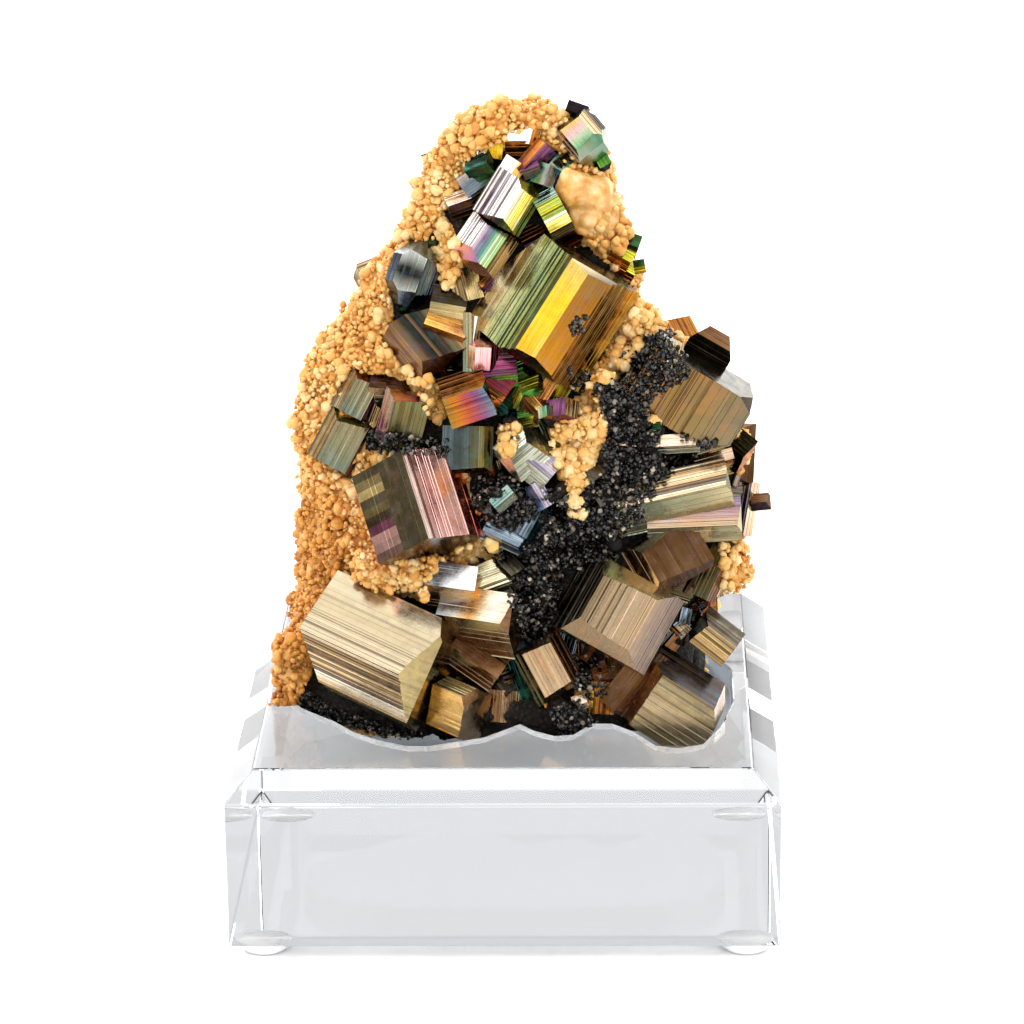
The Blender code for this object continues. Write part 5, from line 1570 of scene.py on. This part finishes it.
def dropped_on_front(outline, spacing, rng):
    """Points where rays through an outline of the photo meet the front, and the normals."""
    outline = np.array(outline, float)
    low, high = outline.min(0), outline.max(0)
    count = int(np.prod(high - low) / (spacing * PIXELS_PER_MM) ** 2)
    pixels = low + rng.random((count, 2)) * (high - low)
    pixels = pixels[inside_outline(pixels, outline)]
    spots, normals = [], []
    for across, down in pixels:
        ray = Vector(pixel_direction(across, down))
        hits = [tree.ray_cast(Vector(CAMERA_PLACE), ray) for tree in (front_tree, matrix_tree)]
        hits = [hit for hit in hits if hit[0] is not None]
        if hits:
            nearest = min(hits, key=lambda hit: hit[3])
            spots.append(nearest[0])
            normals.append(nearest[1])
    return np.array(spots).reshape(-1, 3) / MM, np.array(normals).reshape(-1, 3)


front_tree = ray_tree(front_pieces)
matrix_tree = ray_tree([matrix_piece])
print("faces that rays can meet:",
      sum(len(piece.data.polygons) for piece in [*front_pieces, matrix_piece]))

# %% [markdown]
# ## Many lumps as one mesh
# Thousands of separate objects would be slow. Whole-array sums turn, scale and move every ball
# at once and give one mesh, and each lump is pushed out of round by its own random shares.

# %% Turn, scale and move many lumps


def turns(count, rng):
    """Random rotation matrices from unit quaternions."""
    q = rng.normal(size=(count, 4))
    w, x, y, z = (q / np.linalg.norm(q, axis=1, keepdims=True)).T
    return np.stack([
        np.stack([1 - 2 * (y * y + z * z), 2 * (x * y - w * z), 2 * (x * z + w * y)], -1),
        np.stack([2 * (x * y + w * z), 1 - 2 * (x * x + z * z), 2 * (y * z - w * x)], -1),
        np.stack([2 * (x * z - w * y), 2 * (y * z + w * x), 1 - 2 * (x * x + y * y)], -1)], 1)


def many_lumps(name, spots, radii, tones, ball, rough, material, rng, smooth=True):
    """Joined lumps: the ball's points, pushed in and out by a random share, turned, scaled by
    each radius and moved to each spot."""
    points, faces = ball
    count = len(spots)
    bumpy = 1 + rough * (rng.random((count, len(points), 1)) * 2 - 1)
    squash = rng.uniform(0.7, 1.2, (count, 1, 3))
    shapes = (points * bumpy * squash) @ turns(count, rng).transpose(0, 2, 1)
    placed = shapes * radii[:, None, None] + spots[:, None]
    placed = rest_on_block(placed.reshape(-1, 3))
    joined = faces + (np.arange(count) * len(points))[:, None, None]
    piece = new_piece(name, placed * MM, joined.reshape(-1, 3), material, smooth)
    tone = piece.data.attributes.new("tone", 'FLOAT', 'POINT')
    tone.data.foreach_set("value", np.repeat(tones, len(points)))
    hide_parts("specimen")
    print(name, count, "lumps,", len(placed) // len(points) * len(faces), "triangles")
    return piece


small_ball, large_ball = unit_lump(1), unit_lump(2)

# %% [markdown]
# ## Calcite knobs
# Most knobs are small and a few are large, as when a few seeds outgrow the others. A knob that
# stands proud is paler than one deep in the crust: the browner tone there is painted shade of
# the crevices. Knobs deep between crystals are left out, since only rock is seen there.

# %% Sow the calcite knobs
CRUST_SPACING = 0.56
# The front reaches this far back, in millimetres
FRONT_DEPTH = 9
TRIANGLES_PER_PIECE = 180000
sow = np.random.default_rng(7)
spots, normals = sown_on_matrix(CRUST_SPACING, sow)
open_air = ~in_crystal(spots, 0.05, planes_of_all)
spots, normals = spots[open_air], normals[open_air]
spots_px, _ = to_pixels(spots * MM)
facing = normals @ -FORWARD
front_side = ((spots[:, 1] < FRONT_DEPTH) & (facing > -0.3)) | (spots[:, 1] < -4)
# Half the knobs that face away go, as the back needs fewer
hidden = (facing < -0.35) & (sow.random(len(spots)) < 0.5)
dark = front_side & inside_any(spots_px, [DARK_AREA, MASS_AREA, *BLACK_AREAS.values()])
pale = front_side & inside_any(spots_px, CALCITE_AREAS.values())
keep = (~dark | pale) & ~hidden
spots, normals, pale, spots_px = spots[keep], normals[keep], pale[keep], spots_px[keep]
large = sow.random(len(spots)) < 0.1
radii = np.where(large, sow.uniform(0.5, 0.95, len(spots)), sow.uniform(0.22, 0.5, len(spots)))
# The crust at the lower left is browner
low_left = (spots_px[:, 0] < 345) & (spots_px[:, 1] > 500)
lift = sow.uniform(0.0, 0.85, len(spots))
# Knobs set deeper in the crust get a browner tone: painted shade of its crevices.
tones = sow.normal(0.1, 0.07, len(spots)) + 0.3 * (0.6 - lift)
tones += np.where(low_left, 0.2, 0.0) - np.where(pale, 0.1, 0.0)
spots = spots + normals * lift[:, None]
for name, chosen, ball in (("calcite_crust_fine", ~large, small_ball),
                           ("calcite_crust_coarse", large, large_ball)):
    order = np.nonzero(chosen)[0][np.argsort(spots[chosen, 2])]
    parts = 1 + len(order) * len(ball[1]) // TRIANGLES_PER_PIECE
    for index, group in enumerate(np.array_split(order, parts)):
        many_lumps("%s_%d" % (name, index + 1), spots[group], radii[group], tones[group],
                   ball, 0.2, calcite, sow)

# %% [markdown]
# ## Rock between the crystals
# The skin under the knobs is one mesh, so the dark rock is its second material, given face by
# face. A second mesh would need a seam.

# %% Give the rock its faces
centres = np.array([face.center[:] for face in melted.polygons]) / MM
centres_px, _ = to_pixels(centres * MM)
# Faces seen in the dark areas get the near-black rock: real rock, and in the recesses painted shade.
rocky = inside_any(centres_px, [DARK_AREA, *BLACK_AREAS.values()])
rocky &= (centres[:, 1] < FRONT_DEPTH) & ~inside_any(centres_px, CALCITE_AREAS.values())
melted.polygons.foreach_set("material_index", rocky.astype(int))
print("rock:", int(rocky.sum()), "of", len(rocky), "faces")

# %% [markdown]
# ## Pale clusters and black grains
# The white calcite clusters and the black crust lie on top of the crystals, so they are
# dropped along the camera's rays onto whatever is there. Bare flakes of pyrite stay free.

# %% Drop the pale calcite and the black grains
PALE_SPACING = 0.55
GRAIN_SPACING = 0.3
pale_spots = []
for outline in CALCITE_AREAS.values():
    found, facing = dropped_on_front(outline, PALE_SPACING, sow)
    pale_spots.append(found + facing * sow.uniform(0, 0.8, (len(found), 1)))
pale_spots = np.concatenate(pale_spots)
many_lumps("calcite_clusters", pale_spots, sow.uniform(0.3, 0.85, len(pale_spots)),
           sow.normal(0.08, 0.08, len(pale_spots)), large_ball, 0.2, calcite, sow)
flake_planes = [planes_of_all[index] for index, row in enumerate(CRYSTALS) if row[0] in FLAKES]
grain_spots = []
for name, outline in BLACK_AREAS.items():
    found, facing = dropped_on_front(outline, GRAIN_SPACING, sow)
    bare = in_crystal(found, 0.08, flake_planes)
    found, facing = found[~bare], facing[~bare]
    pile = 0.35 if name.startswith("prism") else 0.9
    grain_spots.append(found + facing * sow.uniform(-0.1, pile, (len(found), 1)))
grain_spots = np.concatenate(grain_spots)
many_lumps("black_crust", grain_spots, 0.13 + 0.34 * sow.random(len(grain_spots)) ** 1.8,
           sow.random(len(grain_spots)), small_ball, 0.3, grains_black, sow, False)

# %% [markdown]
# ## Small crystals in the gaps
# Between the large crystals sit small ones, of which the photo shows little more than glints.
# They aren't copied one by one. Rays through the dark part of the front find the bare rock,
# and a small prism with a seeded size, turn and finish stands on each spot that is found.

# %% Grow the small crystals
GAP_SPACING = 1.9
GAP_LOWEST = 31
GAP_LOOKS_CHANGE = 62
gap_rng = np.random.default_rng(21)
gap_spots, _ = dropped_on_front(DARK_AREA, GAP_SPACING, gap_rng)
gap_px, _ = to_pixels(gap_spots * MM)
bare = ~in_crystal(gap_spots, 0.1, planes_of_all) & (gap_spots[:, 2] > GAP_LOWEST)
bare &= ~inside_any(gap_px, [MASS_AREA, *BLACK_AREAS.values(), *CALCITE_AREAS.values()])
gaps = Growth()
for middle in gap_spots[bare]:
    size = gap_rng.uniform(1.3, 3.2)
    faces = [(gap_rng.uniform(-45, -10), size),
             (gap_rng.uniform(25, 60), size * gap_rng.uniform(0.6, 1.0))]
    names = GAP_LOOKS_HIGH if middle[2] > GAP_LOOKS_CHANGE else GAP_LOOKS_LOW
    looks = [names[k] for k in gap_rng.integers(0, len(names), 4)]
    grow(gaps, middle, gap_rng.uniform(-90, 90), gap_rng.uniform(-30, 30),
         size * gap_rng.uniform(0.8, 1.5), faces, [], looks[:2], looks[2:], gap_rng)
gap_piece = crystal_piece("pyrite_crystals_small", gaps, pyrite)
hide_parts("specimen")
print("small crystals:", int(bare.sum()))

# %% [markdown]
# ## The clear calcite mass
# At the top right sits a lump of almost clear calcite, smooth as wet sugar, that glows where
# light passes through it. Its lower right end breaks up in knobs.

# %% Clear calcite mass
MASS_VOXEL = 0.28
MASS_CORE = [(558, 174), (602, 182), (614, 203), (622, 224), (610, 242), (586, 234), (574, 224)]
mass_spots, mass_normals = dropped_on_front(MASS_CORE, 0.6, sow)
mass_radii = sow.uniform(0.8, 1.9, len(mass_spots))
mass_piece = many_lumps("clear_calcite_mass", mass_spots, mass_radii,
                        sow.uniform(0.0, 0.3, len(mass_spots)), large_ball, 0.14, calcite, sow)
melt_together(mass_piece, MASS_VOXEL)
soften = mass_piece.modifiers.new("soften", 'SMOOTH')
soften.iterations = 3
# Clear calcite, smooth growth faces: light goes in, scatters a little and comes out warm
glow, glow_tree, glow_shader = new_material("clear_calcite")
glow_place = add_node(glow_tree, "ShaderNodeTexCoord").outputs["Object"]
glow_veil = add_node(glow_tree, "ShaderNodeTexNoise", {
    "Vector": glow_place, "Scale": 1.0 / (2.0 * MM), "Detail": 4.0})
glow_colour = add_node(glow_tree, "ShaderNodeValToRGB", {"Fac": glow_veil.outputs["Fac"]}, [
    (0.35, "#E4C48E"), (0.52, "#D8A456"), (0.7, "#B87A2A")])
glow_cells = add_node(glow_tree, "ShaderNodeTexVoronoi", {
    "Vector": glow_place, "Scale": 1.0 / (1.5 * MM)})
glow_bump = add_node(glow_tree, "ShaderNodeBump", {
    "Strength": 0.7, "Distance": 0.35 * MM, "Height": glow_cells.outputs["Distance"]}, invert=True)
feed(glow_tree, glow_shader, {
    "Base Color": glow_colour.outputs["Color"], "Normal": glow_bump.outputs["Normal"],
    "Roughness": 0.25, "IOR": 1.6, "Subsurface Weight": 0.7,
    "Subsurface Radius": (1.0, 0.6, 0.3), "Subsurface Scale": 1.4 * MM})
mass_piece.data.materials[0] = glow
KNOB_AREA = [(583, 225), (612, 203), (634, 228), (624, 250), (602, 254), (586, 242)]
knob_spots, knob_facing = dropped_on_front(KNOB_AREA, 0.5, sow)
knob_spots = knob_spots + knob_facing * sow.uniform(0.6, 2.2, (len(knob_spots), 1))
many_lumps("calcite_mass_knobs", knob_spots, sow.uniform(0.35, 0.8, len(knob_spots)),
           sow.normal(0.16, 0.07, len(knob_spots)), large_ball, 0.2, calcite, sow)

# %% [markdown]
# ## The acrylic block
# The block is cast acrylic, flame-polished on the outside. The seat in its top was ground to
# the specimen's outline, and a ground face is frosted. Clear plastic is seen by what it bends
# and reflects, so it gets its real index of refraction and a trace of grey absorption.

# %% Clear and ground acrylic


def acrylic(name, roughness):
    """Acrylic, cast in a sheet: flame-polished where its roughness is 0, so its faces are clear
    mirrors, and white as frost where the seat was ground."""
    material, tree, shader = new_material(name)
    feed(tree, shader, {
        "Base Color": rgba("#FFFFFF"), "Roughness": roughness, "IOR": 1.49,
        "Transmission Weight": 1.0})
    absorb = add_node(tree, "ShaderNodeVolumeAbsorption", {
        "Color": rgba("#E2E6E9"), "Density": 9.0})
    feed(tree, tree.nodes["Material Output"], {"Volume": absorb.outputs["Volume"]})
    return material


polished = acrylic("cast_acrylic", 0.0)
ground = acrylic("ground_acrylic", 0.45)
print("materials:", polished.name, "and", ground.name)

# %% [markdown]
# ## The block's shape
# The CAD block already has its bevels and its seat. Its mesh is made of loose triangles, which
# would show in the reflections, so its corners are merged and its flat faces rejoined. A small
# bevel then rounds the edges as polishing does, and each rounded edge catches the light.

# %% Block with a frosted seat
# The ground faces lie this near the middle, and between these heights, in millimetres
GROUND_REACH = (36, 32)
GROUND_HEIGHTS = (23.5, 26.9)


def merged_copy(node_name, name):
    """A copy of a CAD node's mesh with its corners merged and its flat faces rejoined."""
    bm = bmesh.new()
    bm.from_mesh(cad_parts[node_name].data)
    bmesh.ops.remove_doubles(bm, verts=bm.verts[:], dist=1e-6)
    bmesh.ops.dissolve_limit(bm, angle_limit=math.radians(0.5), verts=bm.verts[:],
                             edges=bm.edges[:])
    mesh = bpy.data.meshes.new(name)
    bm.to_mesh(mesh)
    bm.free()
    piece = show(name, mesh)
    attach(piece, BODY)
    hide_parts(node_name)
    return piece


block = merged_copy("display_block", "acrylic_block")
block.data.materials.clear()
block.data.materials.append(polished)
block.data.materials.append(ground)
for face in block.data.polygons:
    across, deep, height = (abs(value) / MM for value in face.center)
    in_reach = across < GROUND_REACH[0] and deep < GROUND_REACH[1]
    at_height = GROUND_HEIGHTS[0] < height < GROUND_HEIGHTS[1]
    face.material_index = 1 if in_reach and at_height else 0
    face.use_smooth = False
rounding = block.modifiers.new("polished_edges", 'BEVEL')
rounding.width = 0.25 * MM
rounding.segments = 2
rounding.limit_method = 'ANGLE'
rounding.angle_limit = math.radians(30)
rounding.harden_normals = False
frosted = sum(face.material_index for face in block.data.polygons)
print("block:", len(block.data.polygons), "faces,", frosted, "of them frosted")

# %% [markdown]
# ## The feet
# Four clear soft domes keep the block off the table. Each is a turned profile, pressed flat
# where it stands. The CAD feet keep 0.3 mm from the block; these reach it, because stuck
# rubber wets the plastic, which is why the feet are seen so clearly through the block.

# %% Turned feet


def turned(profile, segments):
    """Points of a profile (radius, height) turned about the upright axis."""
    angle = np.arange(segments) / segments * 2 * math.pi
    profile = np.array(profile)
    rings = np.stack([np.outer(profile[:, 0], np.cos(angle)),
                      np.outer(profile[:, 0], np.sin(angle)),
                      np.repeat(profile[:, 1:], segments, 1)], -1)
    return rings.reshape(-1, 3)


# Clear polyurethane, cast in drops: milky with a soft skin, it looks white under the block
soft_clear, foot_tree, foot_shader = new_material("clear_polyurethane")
feed(foot_tree, foot_shader, {
    "Base Color": rgba("#FFFFFF"), "Roughness": 0.3, "IOR": 1.5, "Transmission Weight": 0.1})
# Radius and height in millimetres, from the table up to the block
FOOT_PROFILE = [(2.8, 0.0), (3.1, 0.06), (3.4, 0.3), (3.7, 0.75), (3.88, 1.2), (3.94, 1.5),
                (3.95, 2.03)]
FOOT_COLUMNS = 48
for name in sorted(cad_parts):
    if not name.startswith("foot_"):
        continue
    low, high = (np.array(corner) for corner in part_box(name))
    middle = (low + high) / 2
    middle[2] = 0.0
    rings = turned(FOOT_PROFILE, FOOT_COLUMNS) * MM + middle
    foot = new_piece("soft_" + name, rings, tube_faces(len(FOOT_PROFILE), FOOT_COLUMNS),
                     soft_clear, True)
    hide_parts(name)
    print(foot.name, len(foot.data.polygons), "faces")
